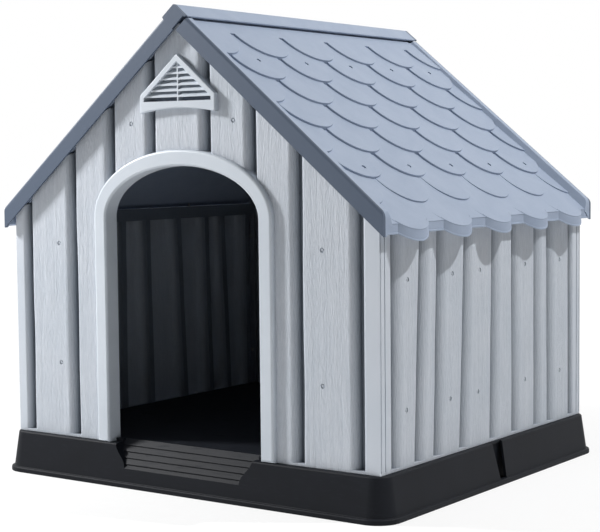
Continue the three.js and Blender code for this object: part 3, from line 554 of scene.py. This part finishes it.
def side_wall():
    """The right side wall; turned half round it is the left one."""
    inner = WALL_X - WALL_BAND
    leans = [0.0, *SIDE_LEANS]

    def line_at(level, height):
        planks = plank_line(SIDE_GROOVES, leans, level, height, SIDE_EASE)
        front = [(inner, -SIDE_END), (WALL_X, -SIDE_END)]
        rear = [(WALL_X, SIDE_END), (inner, SIDE_END)]
        return front + [(WALL_X - depth, run) for run, depth in planks] + rear

    top = SIDE_WALL_TOP
    rail_top = WALL_FOOT + FOOT_RAIL
    wall = sheet_solid(line_at, WALL_FOOT, top).join(
        block((inner, -SIDE_END, WALL_FOOT), (WALL_X, SIDE_END, rail_top)),
        block((inner, -SIDE_END, top - TOP_RAIL), (inner + SHELL, SIDE_END, top)),
        block((inner, -SIDE_END, top - SHELL), (WALL_X, SIDE_END, top)))
    for end in (-SIDE_END, SIDE_END):
        wall.cut(block((WALL_X - SEAM_DEPTH, end - SEAM, rail_top),
                       (WALL_X + SHELL, end + SEAM, RIDGE_HEIGHT)))
    nails = []
    for board in SIDE_NAIL_BOARDS:
        for height in SIDE_NAIL_HEIGHTS:
            level = 2 * (height - WALL_FOOT) / (top - WALL_FOOT) - 1
            near = SIDE_GROOVES[board - 1][1] + level * leans[board - 1]
            far = SIDE_GROOVES[board][0] + level * leans[board]
            nails.append(SIDE @ Matrix.Translation(((near + far) / 2, height, WALL_X)))
    return nailed(wall, nails)


def gable_vent():
    """The louvred vent in a gable, facing -Y."""
    wall = -WALL_Y
    proud = wall - TRIM_RISE
    back = wall + WALL_BAND + FIT + VENT_PLATE
    sleeve = VENT_HIDDEN + SHELL + FIT
    body = front_prism(vent_outline(0.0), proud, wall - FIT, rim=VENT_ROUND).join(
        front_prism(vent_outline(sleeve), proud + VENT_PLATE, back))
    body.cut(front_prism(louvre_outline(0.0), proud - SHELL, back + SHELL))
    front = proud + SLAT_EDGE
    rear = front + SLAT_RUN
    louvres = block((-VENT_RIB / 2, front, VENT_SILL - BITE), (VENT_RIB / 2, rear, VENT_APEX))
    slats = []
    for slat in range(1, SLATS + 1):
        foot = VENT_SILL + slat * SLAT_PITCH - SLAT_EDGE
        section = [(front, foot), (rear, foot + SLAT_PITCH), (rear, foot + SLAT_PITCH + SLAT_EDGE),
                   (front, foot + SLAT_EDGE)]
        slats.append(prism(section, -VENT_HALF, VENT_HALF, SIDE))
    louvres.join(*slats).within(front_prism(louvre_outline(SLAT_SOCKET), proud, back))
    return body.join(louvres)


# ---- Roof -----------------------------------------------------------------------------------


def tile_centres(row, half):
    """Middles of a row's tiles, along the row."""
    shift = TILE_SHIFT if row < TILE_ROWS - 1 else 0.0
    offset = shift + (TILE_WIDTH / 2 if (TILE_ROWS - 1 - row) % 2 else 0.0)
    reach = math.ceil(half / TILE_WIDTH) + 1
    return [tile * TILE_WIDTH + offset for tile in range(-reach, reach + 1)]


def tile_edge(row, half):
    """The lower edge of a row of tiles as (down, along) points, between -half and half."""
    middle = row_foot(row) - TILE_RADIUS
    edge = []
    ends = [(middle, -half), (middle, half)]
    for centre in tile_centres(row, half):
        radii = (TILE_RADIUS, -TILE_RADIUS)
        for point in arc((middle, centre), radii, math.pi / 2, -math.pi / 2, TILE_STEPS):
            if abs(point[1]) < half - BITE and (not edge or math.dist(point, edge[-1]) > FIT):
                edge.append(point)
        for side in (-1, 1):
            across = side * half - centre
            if abs(across) < TILE_RADIUS:
                ends[side > 0] = (middle + math.sqrt(TILE_RADIUS ** 2 - across ** 2), side * half)
    return [ends[0], *edge, ends[1]]


def deck_half(depth):
    """Half width of the tiled deck where it runs into the rims, `depth` below their tops."""
    lean = (RAKE_FOOT - RAKE_TOP) * depth / RAKE_INNER
    return RAKE_Y - RAKE_TOP - lean + SHELL / 2


def tile_frame(row):
    """A row's own frame: at its foot, tilted so that its lower edge stands above the next row."""
    foot = Matrix.Translation((row_foot(row), 0, row_top(row)))
    return SLOPE @ foot @ Matrix.Rotation(-TILT, 4, "Y")


def tiled_deck(start):
    """Rows of scalloped plates, each lower than the last, and the straight eave under them."""
    thick = EAVE_DROP + 2 * SHELL
    plates = []
    for row in range(TILE_ROWS):
        half = deck_half(-row_top(row) + SHELL)
        begin = row_foot(row - 1) - TILE_RADIUS - 2 * SHELL if row else start
        outline = [(begin, -half), *tile_edge(row, half), (begin, half)]
        from_foot = [(u - row_foot(row), v) for u, v in outline]
        plates.append(prism(from_foot, -thick, 0.0, tile_frame(row), rim=TILE_RIM))
    half = deck_half(EAVE_DROP + SHELL / 2)
    begin = row_foot(TILE_ROWS - 2) - TILE_RADIUS - 2 * SHELL
    low, high = (begin, -half, -EAVE_DROP - thick), (STRAIGHT_EAVE - FIT, half, -EAVE_DROP)
    plates.append(block(low, high, SLOPE))
    deck = plates[0].join(*plates[1:])
    foot = deck_underside(2 * EAVE_X)
    below = [(-EAVE_X, deck_underside(-EAVE_X)), (-EAVE_X, foot), (2 * EAVE_X, foot)]
    nails = []
    for row, above in TILE_NAILS.items():
        half = deck_half(EAVE_DROP) - TILE_RADIUS / 2
        for centre in tile_centres(row, half):
            if abs(centre) < half:
                nails.append(tile_frame(row) @ Matrix.Translation((-above, centre, 0.0)))
    return nailed(deck.cut(front_prism(below, -FAR, FAR)), nails)


def beyond_nose(inset):
    """What lies beyond the rounded end of the rakes, `inset` inside their outer face."""
    radius = RAKE_NOSE - inset
    x = EAVE_X - RAKE_NOSE
    centre = (x, roof_height(x, -RAKE_NOSE))
    nose = arc(centre, (radius, radius), 0, math.pi / 2 - PITCH, CORNER_STEPS)
    last = nose[-1]
    far = 2 * EAVE_X
    return front_prism([
        (EAVE_X - inset, 0.0), *nose,
        (last[0] + RAKE_HEIGHT * SIN_PITCH, last[1] + RAKE_HEIGHT * COS_PITCH),
        (far, last[1] + RAKE_HEIGHT), (far, 0.0)], -FAR, FAR)


def rake(side, start, end, lift):
    """One rim along a rake, a channel open below; `lift` raises it off the roof's plane."""
    corner = (RAKE_Y - RAKE_EDGE, lift - RAKE_EDGE)
    edge = arc(corner, (RAKE_EDGE, RAKE_EDGE), 0, math.pi / 2, EDGE_STEPS)
    top = RAKE_Y - RAKE_TOP
    foot = RAKE_Y - RAKE_FOOT
    heel = lift - RAKE_INNER
    below = lift - 2 * RAKE_HEIGHT
    shoulder = [(top + out, lift + up) for out, up in RAKE_SHOULDER]
    filled = [(RAKE_Y, lift - RAKE_HEIGHT), *edge, *shoulder,
              (foot, heel), (foot + SHELL + BITE, heel), (RAKE_Y - 2 * SHELL, lift - RAKE_HEIGHT)]
    hollow = [(RAKE_Y - SHELL, below), (RAKE_Y - SHELL, lift - SHELL),
              (top + SHELL / 2, lift - SHELL), (foot + SHELL, heel), (foot + SHELL, below)]
    outside, inside = [[(side * v, w) for v, w in outline] for outline in (filled, hollow)]
    channel = prism(inside, start - SHELL, end, RAKE).cut(beyond_nose(SHELL))
    return prism(outside, start, end, RAKE).cut(beyond_nose(0.0), channel)


def eave_scallops(inset):
    """Plan outlines of the last row's scallops beyond the straight eave, drawn in by `inset`."""
    centre = LAST_FOOT - TILE_RADIUS
    radius = TILE_RADIUS - inset
    top = row_top(TILE_ROWS - 1)
    start = down_slope(EAVE_X - inset, top) - 2 * SHELL
    reach = math.acos((start - centre) / radius)
    last = math.floor((RAKE_Y - RAKE_FOOT - TILE_RADIUS * math.sin(reach)) / TILE_WIDTH)
    outlines = []
    for tile in range(-last, last + 1):
        lip = arc((centre, tile * TILE_WIDTH), (radius, radius), -reach, reach, TILE_STEPS)
        outlines.append([(u * COS_PITCH + top * SIN_PITCH, v) for u, v in lip])
    return outlines


def eave_face():
    """The upright face along the eave: straight between the scallops and curved round each."""
    half = RAKE_Y - FIT
    low = roof_height(EAVE_X + 2 * SCALLOP_REACH, -EAVE_DEPTH)
    high = roof_height(WALL_X)

    def band(inset, straight_top, curved_top):
        scallops = [prism(outline, low, high) for outline in eave_scallops(inset)]
        straight = block((EAVE_X - 4 * SHELL, -half, low), (EAVE_X - inset, half, high))
        parts = []
        for part, top in ((straight, straight_top), (scallops[0].join(*scallops[1:]), curved_top)):
            slab = block((0.0, -RAKE_Y, -EAVE_DEPTH), (2 * STRAIGHT_EAVE, RAKE_Y, top), SLOPE)
            parts.append(part.within(slab))
        return parts[0].join(parts[1])

    face = band(LIP_REACH, -EAVE_DROP, row_top(TILE_ROWS - 1) - FIT)
    lip = band(FIT, LIP - EAVE_DEPTH, LIP - EAVE_DEPTH)
    hollows = [prism(outline, low, high) for outline in eave_scallops(SHELL)]
    rear, front = EAVE_X - 8 * SHELL, EAVE_X - SHELL
    inside = block((rear, -RAKE_Y, low - SHELL), (front, RAKE_Y, high + SHELL))
    return face.join(lip).cut(inside, *hollows)


def slope_point(distance, lift, side):
    out = distance * COS_PITCH + lift * SIN_PITCH
    return side * out, RIDGE_HEIGHT - distance * SIN_PITCH + lift * COS_PITCH


def ridge_cap():
    """The cap over the ridge: thick on its own panel, and a lap over the other one."""
    flat = RIDGE_FLAT / 2
    lap_foot = 3 * FIT - FIRST_ROW_DROP
    heel = -SHELL - BITE
    edges = [[slope_point(CAP_REACH, CAP_RISE - CAP_EDGE, side),
              slope_point(CAP_REACH - CAP_EDGE, CAP_RISE, side)] for side in (1, -1)]
    return front_prism([
        *edges[0], (flat, roof_height(flat, CAP_RISE)),
        (-flat, roof_height(flat, CAP_RISE)), *reversed(edges[1]),
        slope_point(CAP_REACH, lap_foot, -1), (0.0, roof_height(0.0, lap_foot)),
        (0.0, roof_height(0.0, heel)), slope_point(CAP_REACH, heel, 1)], -RAKE_Y, RAKE_Y)


def roof_panel(caps_ridge):
    """A roof panel on the +X side. One panel caps the ridge, the other tucks under that cap."""
    across = 2 * RAKE_Y
    start = CAP_REACH - SHELL if caps_ridge else 0.0
    rakes = [rake(side, start, STRAIGHT_EAVE + 2 * RAKE_HEIGHT, 0.0) for side in (-1, 1)]
    panel = tiled_deck(SHELL if caps_ridge else RIDGE_TUCK).join(*rakes, eave_face())
    if caps_ridge:
        lap = block((-across, -across, CAP_RISE - BITE), (across, across, across), OTHER_SLOPE)
        raised = [rake(side, -2 * RAKE_HEIGHT, CAP_REACH, CAP_RISE).cut(lap) for side in (-1, 1)]
        return panel.join(*raised, ridge_cap())
    other_rake = CAP_RISE - RAKE_HEIGHT - RAKE_END_GAP
    clear = RAKE_Y - RAKE_FOOT - FIT
    ends = [block((-across, near, other_rake), (across, near + across - clear, across), OTHER_SLOPE)
            for near in (-across, clear)]
    return panel.cut(*ends)


# ---- Base tray ------------------------------------------------------------------------------


def tray_outline(grow):
    return rounded_rectangle(WALL_X + LEDGE_X + grow, WALL_Y + LEDGE_Y + grow, TRAY_CORNER + grow)


def step_side(inset):
    """Everything in front of the step's tread, which has lapped bands, as a side outline."""
    lip = -WALL_Y - CUT_REACH
    back = -WALL_Y + STEP_BACK
    band_rise = (FLOOR_HEIGHT - STEP_LIP_HEIGHT) / STEP_BANDS
    band_run = STEP_RUN / STEP_BANDS
    tread = []
    for band in range(STEP_BANDS):
        low = STEP_LIP_HEIGHT + band * band_rise - inset
        near = back - STEP_RUN + band * band_run + inset
        lap = near - STEP_LAP
        tread += [(lap, low), (lap + STEP_NOSE[0], low + STEP_NOSE[1]),
                  (near + band_run, low + band_rise)]
    top = FLOOR_HEIGHT + SHELL
    return [(lip, STEP_LIP_HEIGHT - inset), *tread, (back + inset, top), (lip, top)]


def step_recess(inset):
    """The step's recess, `inset` bigger all round; its cheeks curve in at the lip."""
    front, rear = -WALL_Y - CUT_REACH, -WALL_Y + CUT_REACH
    low, high = STEP_LIP_HEIGHT - SHELL, FLOOR_HEIGHT + SHELL
    rings = []
    for i in range(CORNER_STEPS + 1):
        height = low + (high - low) * i / CORNER_STEPS
        share = min(max((height - STEP_LIP_HEIGHT) / (FLOOR_HEIGHT - STEP_LIP_HEIGHT), 0.0), 1.0)
        eased = share - STEP_CURVE * math.sin(2 * math.pi * share)
        half = STEP_LIP_HALF + inset + (STEP_TOP_HALF - STEP_LIP_HALF) * eased
        rings.append(([(-half, front), (half, front), (half, rear), (-half, rear)], height))
    beside = 2 * STEP_TOP_HALF
    return stacked(rings).within(prism(step_side(inset), -beside, beside, SIDE))


def skirt_slot(side):
    """What the tapered slot takes out of one side's skirt."""
    outline = [(SLOT_TOP[0], LEDGE_HEIGHT + BITE), (SLOT_TOP[1], LEDGE_HEIGHT + BITE),
               (SLOT_FOOT[1], BEAD_HEIGHT), (SLOT_FOOT[0], BEAD_HEIGHT)]
    near = WALL_X + LEDGE_X - BITE
    far = near + CUT_REACH
    return prism(outline, near, far, SIDE) if side > 0 else prism(outline, -far, -near, SIDE)


def tray_outside():
    """The tray's outer form: bead, flared skirt and rounded shoulder."""
    flared = SHOULDER + SKIRT_FLARE
    bead = flared + BEAD_REACH
    bead_top = BEAD_HEIGHT - BEAD_ROUND
    rings = [(bead - BEAD_FOOT, 0.0), (bead, BEAD_FOOT), (bead, bead_top)]
    for step in range(1, BEAD_STEPS + 1):
        angle = math.pi / 2 * step / BEAD_STEPS
        rings.append((bead - BEAD_ROUND * (1 - math.cos(angle)),
                      bead_top + BEAD_ROUND * math.sin(angle)))
    rings += [(flared + out, BEAD_HEIGHT + up) for out, up in BEAD_SEAM]
    for step in range(EDGE_STEPS + 1):
        angle = math.pi / 2 * step / EDGE_STEPS
        rings.append((SHOULDER * math.cos(angle),
                      LEDGE_HEIGHT - SHOULDER + SHOULDER * math.sin(angle)))
    return stacked([(tray_outline(grow), height) for grow, height in rings])


def tray_ribs(floor_x, floor_y):
    """The crossing ribs below the tray, and a pocket behind the slot in each side skirt: a dark
    plate that stands in for the shade inside the tray.
    """
    foot = LEDGE_HEIGHT - TRAY_RIB_HEIGHT
    reaches = (WALL_X, WALL_Y, LEDGE_HEIGHT), (floor_x, floor_y, FLOOR_HEIGHT)
    ribs = []
    for at in (-TRAY_RIB_SPACING, 0.0, TRAY_RIB_SPACING):
        near, far = at - SHELL / 2, at + SHELL / 2
        for half_x, half_y, top in reaches:
            ribs.append(block((near, -half_y, foot), (far, half_y, top - BITE)))
            ribs.append(block((-half_x, near, foot), (half_x, far, top - BITE)))
    near = WALL_X + LEDGE_X - BITE - 2 * SHELL
    skirt = WALL_X + LEDGE_X + SHOULDER + SKIRT_FLARE
    start, end = SLOT_FOOT[0] - SLOT_SHADE_PLATE, SLOT_FOOT[1] + SLOT_SHADE_PLATE
    # Behind each slot, a dark plate that stands in for the shade inside the tray.
    for far, top in ((near + SHELL, LEDGE_HEIGHT - BITE), (skirt, BEAD_HEIGHT / 2)):
        for low, high in ((near, far), (-far, -near)):
            ribs.append(block((low, start, BITE), (high, end, top)))
    return ribs


def base_tray():
    """The tray with its raised floor, step, slots and ribs, open below."""
    flared = SHOULDER + SKIRT_FLARE
    inside = LEDGE_HEIGHT - SHOULDER
    floor_x = WALL_X - WALL_BAND - FIT
    floor_y = WALL_Y - WALL_BAND - FIT
    threshold = DOOR_HALF - FIT
    whole = tray_outside().join(
        block((-floor_x, -floor_y, inside), (floor_x, floor_y, FLOOR_HEIGHT)),
        block((-threshold, -floor_y - SILL_REACH, inside), (threshold, 0.0, FLOOR_HEIGHT)))
    hollow_x, hollow_y = floor_x - SHELL, floor_y - SHELL
    underside = stacked([(tray_outline(flared - SHELL), -SHELL),
                         (tray_outline(SHOULDER - SHELL), LEDGE_HEIGHT - SHELL)])
    underside.join(block((-hollow_x, -hollow_y, 0.0), (hollow_x, hollow_y, FLOOR_HEIGHT - SHELL)))
    step_shell = step_recess(SHELL).within(whole)
    whole.cut(underside).join(step_shell, *tray_ribs(floor_x, floor_y))
    return whole.cut(step_recess(0.0), skirt_slot(-1), skirt_slot(1))


# ---- Materials ------------------------------------------------------------------------------


class Value:
    """An output of a node that takes part in sums."""

    def __init__(self, finish, socket):
        self.finish = finish
        self.socket = socket

    def _sum(self, operation, first, second):
        return self.finish.node("Math", {"operation": operation}, {0: first, 1: second})

    def __add__(self, other):
        return self._sum("ADD", self, other)

    def __sub__(self, other):
        return self._sum("SUBTRACT", self, other)

    def __rsub__(self, other):
        return self._sum("SUBTRACT", other, self)

    def __mul__(self, other):
        return self._sum("MULTIPLY", self, other)

    __radd__ = __add__
    __rmul__ = __mul__

    def above(self, limit):
        return self._sum("GREATER_THAN", self, limit)

    def least(self, other):
        return self._sum("MINIMUM", self, other)

    def clamped(self):
        """The value, kept between 0 and 1."""
        return self.finish.node("Math", {"operation": "ADD", "use_clamp": True}, {0: self, 1: 0.0})


class Finish:
    """The nodes of a material, or of the world, under construction."""

    def __init__(self, owner):
        owner.use_nodes = True
        self.owner = owner
        self.tree = owner.node_tree
        self.tree.nodes.clear()
        self.place = self.node("TexCoord", output="Object")

    def node(self, kind, settings=None, values=None, output=0):
        """Adds a node: its settings first, then the values or links of its sockets."""
        made = self.tree.nodes.new("ShaderNode" + kind)
        for setting, value in (settings or {}).items():
            if setting == "stops":
                self._stops(made.color_ramp, value)
            else:
                setattr(made, setting, value)
        for socket, value in (values or {}).items():
            if isinstance(value, Value):
                self.tree.links.new(value.socket, made.inputs[socket])
            else:
                made.inputs[socket].default_value = value
        return Value(self, made.outputs[output]) if made.outputs else made

    @staticmethod
    def _stops(ramp, stops):
        while len(ramp.elements) < len(stops):
            ramp.elements.new(0.5)
        for element, (position, tone) in zip(ramp.elements, stops):
            element.position = position
            element.color = (tone, tone, tone, 1.0)

    def off_middle(self, axis):
        """How far the place lies from the middle along X (0) or Y (1), in metres."""
        along = self.node("SeparateXYZ", None, {0: self.place}, axis)
        return self.node("Math", {"operation": "ABSOLUTE"}, {0: along})

    def stretched(self, scale, place=None):
        """The place on the object, scaled for a pattern."""
        return self.node("Mapping", None, {"Vector": place or self.place, "Scale": scale})

    def cloud(self, scale, detail=4.0, roughness=0.5, place=None, distortion=0.0):
        """Noise from 0 to 1."""
        return self.node("TexNoise", None, {
            "Vector": place or self.place, "Scale": scale, "Detail": detail,
            "Roughness": roughness, "Distortion": distortion})

    def mix(self, share, first, second):
        """A colour between two others; the sockets go by number because their names repeat."""
        return self.node("Mix", {"data_type": "RGBA"}, {0: share, 6: first, 7: second}, 2)

    def ramp(self, value, *stops):
        """A value eased between stops of (position, brightness)."""
        return self.node("ValToRGB", {"stops": stops}, {0: value})

    def bump(self, height, distance, strength):
        return self.node("Bump", None, {
            "Height": height, "Distance": distance, "Strength": strength})

    def surface(self, colour, roughness, normal, fixed=None):
        """Ends the material in one shader; the fixed numbers are the same all over."""
        values = {"Base Color": colour, "Roughness": roughness, "Normal": normal, **(fixed or {})}
        shader = self.node("BsdfPrincipled", None, values)
        self.node("OutputMaterial", None, {"Surface": shader})
        return self.owner


def rgb(red, green, blue):
    """A colour as written in 0-255 screen values, as linear light."""
    def linear(value):
        value /= 255
        return value / 12.92 if value <= 0.04045 else ((value + 0.055) / 1.055) ** 2.4
    return linear(red), linear(green), linear(blue), 1.0


WHITE = (1.0, 1.0, 1.0, 1.0)
PLANK_TONES = (rgb(198, 205, 214), rgb(207, 212, 220))
PLANK_GRAIN = rgb(166, 176, 188)
# Painted shade for the grooves and the walls' inner faces.
PLANK_GROOVE_SHADE = rgb(98, 107, 118)
TRIM_TONES = (rgb(197, 205, 214), rgb(209, 216, 224))
TILE_TONES = (rgb(148, 161, 182), rgb(160, 172, 191))
# Painted shade for the rakes' outer faces.
RAKE_FACE_SHADE = rgb(68, 80, 98)
TRAY_TONES = (rgb(11, 14, 20), rgb(19, 22, 29))
TRAY_SCUFF = rgb(48, 51, 58)
ZINC_TONES = (rgb(160, 162, 164), rgb(196, 198, 200))
FLOOR_TONES = (rgb(243, 243, 243), rgb(248, 248, 248))

# How often each grain repeats in a metre, across, across and up a plank.
FINE_GRAIN = (640.0, 640.0, 60.0)
BROAD_GRAIN = (150.0, 150.0, 7.0)
PORES = (900.0, 900.0, 120.0)
GRAIN_SWAY = (4.0, 4.0, 1.6)
GRAIN_SWAY_REACH = 0.012
SCUFFS = (40.0, 40.0, 260.0)
TURNED_GRAIN = (1500.0, 1500.0, 300.0)

# Stops of noise that is spread over its whole range.
SPREAD = ((0.3, 0.0), (0.7, 1.0))

# Depth in a groove in metres, and how much painted shade darkens the colour there.
GROOVE_SHADE_RAMP = ((0.001, 0.0), (0.005, 0.36), (0.016, 0.95))


def new_finish(name):
    return Finish(bpy.data.materials.new(name))


def plank_plastic():
    """Pale grey plastic with raised wood grain, smooth corner strips, and painted shade that
    darkens the grooves and the walls' inner faces.
    """
    f = new_finish("plank_plastic")
    x, y = f.off_middle(0), f.off_middle(1)
    strips = x.above((WALL_X - FRONT_STRIPS[1]) * MM) * y.above((SIDE_END - SIDE_STRIP) * MM)
    sunk = (WALL_X * MM - x).least(WALL_Y * MM - y)
    sway = f.node("TexNoise", None, {
        "Vector": f.stretched(GRAIN_SWAY), "Scale": 3.0, "Detail": 2.0}, "Color")
    sway = f.node("VectorMath", {"operation": "SCALE"}, {0: sway, "Scale": GRAIN_SWAY_REACH})
    bent = f.node("VectorMath", {"operation": "ADD"}, {0: f.place, 1: sway})
    fine = f.cloud(1.0, 3.0, 0.6, f.stretched(FINE_GRAIN, bent))
    broad = f.cloud(1.0, 2.0, 0.5, f.stretched(BROAD_GRAIN, bent))
    pores = f.cloud(1.0, 2.0, 0.5, f.stretched(PORES, bent))
    grain = fine * 0.55 + broad * 0.3 + pores * 0.15
    ridges = f.ramp(grain, (0.38, 0.0), (0.62, 1.0)) * (1.0 - strips) + 0.5 * strips
    tone = f.ramp(f.cloud(7.0, 2.0), *SPREAD)
    colour = f.mix(tone, *PLANK_TONES)
    colour = f.mix(ridges, f.mix(0.4, colour, PLANK_GRAIN), colour)
    # Painted shade: the colour darkens with depth in the grooves and on the walls' inner faces.
    colour = f.mix(f.ramp(sunk, *GROOVE_SHADE_RAMP), colour, PLANK_GROOVE_SHADE)
    roughness = 0.62 - 0.14 * ridges
    return f.surface(colour, roughness, f.bump(ridges, 0.0012, 0.6))


def trim_plastic():
    """Smooth pale plastic with a faint mottle and an even fine texture."""
    f = new_finish("trim_plastic")
    mottle = f.ramp(f.cloud(9.0, 4.0, 0.55), *SPREAD)
    skin = f.cloud(900.0, 2.0, 0.5)
    patches = f.cloud(42.0, 3.0, 0.6)
    colour = f.mix((mottle * 0.8 + skin * 0.12 + patches * 0.15).clamped(), *TRIM_TONES)
    roughness = 0.46 + 0.14 * (patches - 0.5) + 0.08 * (skin - 0.5)
    return f.surface(colour, roughness, f.bump(skin, 0.0002, 0.5))


def tile_plastic():
    """Blue-grey satin plastic of the roof, with a slate-like drift and painted shade on the rakes'
    outer faces.
    """
    f = new_finish("roof_tile_plastic")
    drift = f.ramp(f.cloud(16.0, 5.0, 0.6, distortion=0.6), *SPREAD)
    skin = f.cloud(700.0, 3.0, 0.6)
    soft = f.cloud(60.0, 3.0, 0.55)
    colour = f.mix((drift * 0.65 + skin * 0.2 + soft * 0.15).clamped(), *TILE_TONES)
    # Painted shade: the rakes' outer faces are darkened as if they stood in shade.
    rake_face_shade = f.off_middle(1).above((RAKE_Y - RAKE_SHADE_DEPTH) * MM)
    colour = f.mix(rake_face_shade * 0.9, colour, RAKE_FACE_SHADE)
    roughness = 0.56 + 0.16 * (soft - 0.5) + 0.1 * (skin - 0.5)
    normal = f.bump(skin * 0.5 + soft * 0.8, 0.0006, 0.45)
    return f.surface(colour, roughness, normal, {"Specular IOR Level": 0.3})


def tray_plastic():
    """Near-black satin plastic with fine scuffs."""
    f = new_finish("tray_plastic")
    drift = f.ramp(f.cloud(12.0, 4.0, 0.6), *SPREAD)
    skin = f.cloud(800.0, 2.0, 0.5)
    scuffs = f.ramp(f.cloud(1.0, 4.0, 0.65, f.stretched(SCUFFS)), (0.56, 0.0), (0.72, 1.0))
    colour = f.mix((drift * 0.6 + skin * 0.25).clamped(), *TRAY_TONES)
    colour = f.mix(scuffs * 0.2, colour, TRAY_SCUFF)
    roughness = 0.58 + 0.14 * (skin - 0.5) + 0.1 * scuffs
    return f.surface(colour, roughness, f.bump(skin, 0.0003, 0.5), {"Specular IOR Level": 0.15})


def zinc():
    """Zinc-plated steel with a light turned grain."""
    f = new_finish("zinc")
    turned = f.cloud(1.0, 2.0, 0.5, f.stretched(TURNED_GRAIN))
    colour = f.mix(f.cloud(220.0, 3.0), *ZINC_TONES)
    return f.surface(colour, 0.28 + 0.25 * turned, f.bump(turned, 0.0001, 0.4), {"Metallic": 1.0})


# ---- Pieces ---------------------------------------------------------------------------------


def show(name, solid, material, node=None):
    """Puts a finished solid in the scene as a piece."""
    mesh = solid.mesh
    mesh.transform(Matrix.Scale(MM, 4))
    mesh.name = name
    mesh.materials.clear()
    mesh.materials.append(material)
    mesh.shade_smooth()
    mesh.set_sharp_from_angle(angle=SMOOTH_ANGLE)
    thing = shown(name, mesh)
    evener = thing.modifiers.new("even_shading", "WEIGHTED_NORMAL")
    evener.keep_sharp = True
    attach(thing, "root")
    if node:
        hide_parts(node)


PLANKS = plank_plastic()
TRIM = trim_plastic()
TILES = tile_plastic()
TRAY = tray_plastic()
ZINC = zinc()

show("front_wall", gable_wall(True), PLANKS, "front_panel")
show("rear_wall", gable_wall(False).moved(HALF_TURN), PLANKS, "rear_panel")
show("door_surround", door_surround(), TRIM)
side = side_wall()
show("side_wall_left", side.copy(HALF_TURN), PLANKS, "side_panel_left")
show("side_wall_right", side, PLANKS, "side_panel_right")
vent = gable_vent()
show("vent_rear", vent.copy(HALF_TURN), TRIM, "gable_vent_rear")
show("vent_front", vent, TRIM, "gable_vent_front")
show("roof_right", roof_panel(False), TILES, "roof_panel_right")
show("roof_left", roof_panel(True).moved(HALF_TURN), TILES, "roof_panel_left")
show("tray", base_tray(), TRAY, "base_tray")
for name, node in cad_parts.items():
    if "screw" in name:
        node.data.materials.clear()
        node.data.materials.append(ZINC)


# ---- Floor, light and camera ----------------------------------------------------------------

FLOOR_REACH = 12.0
FLOOR_GLOW = 1.05
SHADOW_REACH = (0.5, 1.3)  # metres from the middle between which the floor's shadow fades
SHADOW_COVER = 0.7
LIGHTS = (  # name, place, aimed at, size, watts
    ("key", (-1.9, -1.1, 1.7), (0.0, -0.35, 0.4), (0.3, 0.3), 80.0),
    ("sun", (2.0, 0.65, 3.3), (0.3, 0.0, 0.4), (0.08, 0.08), 94.0),
    ("sheen", (0.1, 2.6, 2.6), (0.2, 0.0, 0.7), (2.5, 1.6), 8.0),
)
WORLD_LIGHT = 0.11
WORLD_SEEN = 1.0
CAMERA_PLACE = (1.6801, -2.3659, 0.5693)
CAMERA_YAW = math.radians(35.535)
CAMERA_TILT = math.radians(3.988)
CAMERA_ROLL = -0.00976  # radians
CAMERA_LENS = 93.2
CAMERA_SENSOR = 36.0


def seen_by(finish, *rays):
    """1 for a ray of one of these kinds and 0 for any other."""
    return sum(finish.node("LightPath", output=f"Is {ray} Ray") for ray in rays).clamped()


def studio_floor():
    """A wide pale floor that the camera sees as white and that keeps the object's shadow."""
    form = bmesh.new()
    bmesh.ops.create_grid(form, x_segments=1, y_segments=1, size=FLOOR_REACH)
    mesh = bpy.data.meshes.new("studio_floor")
    form.to_mesh(mesh)
    form.free()
    floor = shown("studio_floor", mesh)
    f = new_finish("floor_paint")
    paint = f.node("BsdfDiffuse", None, {"Color": f.mix(f.cloud(30.0, 3.0), *FLOOR_TONES)})
    white = f.node("Emission", None, {"Color": WHITE, "Strength": FLOOR_GLOW})
    away = f.node("VectorMath", {"operation": "LENGTH"}, {0: f.place}, "Value")
    cover = f.node("MapRange", {"interpolation_type": "SMOOTHSTEP"}, {
        "Value": away, "From Min": SHADOW_REACH[0], "From Max": SHADOW_REACH[1],
        "To Min": SHADOW_COVER, "To Max": 1.0})
    share = seen_by(f, "Camera", "Glossy") * cover
    both = f.node("MixShader", None, {0: share, 1: paint, 2: white})
    f.node("OutputMaterial", None, {"Surface": both})
    mesh.materials.append(f.owner)


def soft_light(name, place, target, size, power):
    lamp = bpy.data.lights.new(name, "AREA")
    lamp.shape = "RECTANGLE"
    lamp.size, lamp.size_y = size
    lamp.energy = power
    holder = shown(name, lamp)
    holder.location = place
    holder.rotation_euler = (Vector(target) - Vector(place)).to_track_quat("-Z", "Y").to_euler()


def white_world():
    """Even light from all round, which the camera and reflections see as white."""
    f = Finish(bpy.data.worlds.new("studio"))
    dim, bright = [f.node("Background", None, {"Color": WHITE, "Strength": strength})
                   for strength in (WORLD_LIGHT, WORLD_SEEN)]
    share = seen_by(f, "Camera", "Glossy", "Transmission")
    both = f.node("MixShader", None, {0: share, 1: dim, 2: bright})
    f.node("OutputWorld", None, {"Surface": both})
    bpy.context.scene.world = f.owner


def photo_camera():
    """The camera at the photograph's place and angle."""
    yaw, tilt, roll = CAMERA_YAW, CAMERA_TILT, CAMERA_ROLL
    level = math.cos(tilt)
    ahead = Vector((-math.sin(yaw) * level, math.cos(yaw) * level, -math.sin(tilt)))
    right = Vector((math.cos(yaw), math.sin(yaw), 0.0))
    up = right.cross(ahead)
    rolled_right = right * math.cos(roll) + up * math.sin(roll)
    rolled_up = up * math.cos(roll) - right * math.sin(roll)
    lens = bpy.data.cameras.new("photo_camera")
    lens.lens = CAMERA_LENS
    lens.sensor_width = CAMERA_SENSOR
    camera = shown("photo_camera", lens)
    camera.matrix_world = basis(rolled_right, rolled_up, -ahead, CAMERA_PLACE)
    bpy.context.scene.camera = camera


studio_floor()
for light in LIGHTS:
    soft_light(*light)
white_world()
photo_camera()
bpy.context.scene.view_settings.view_transform = "Standard"
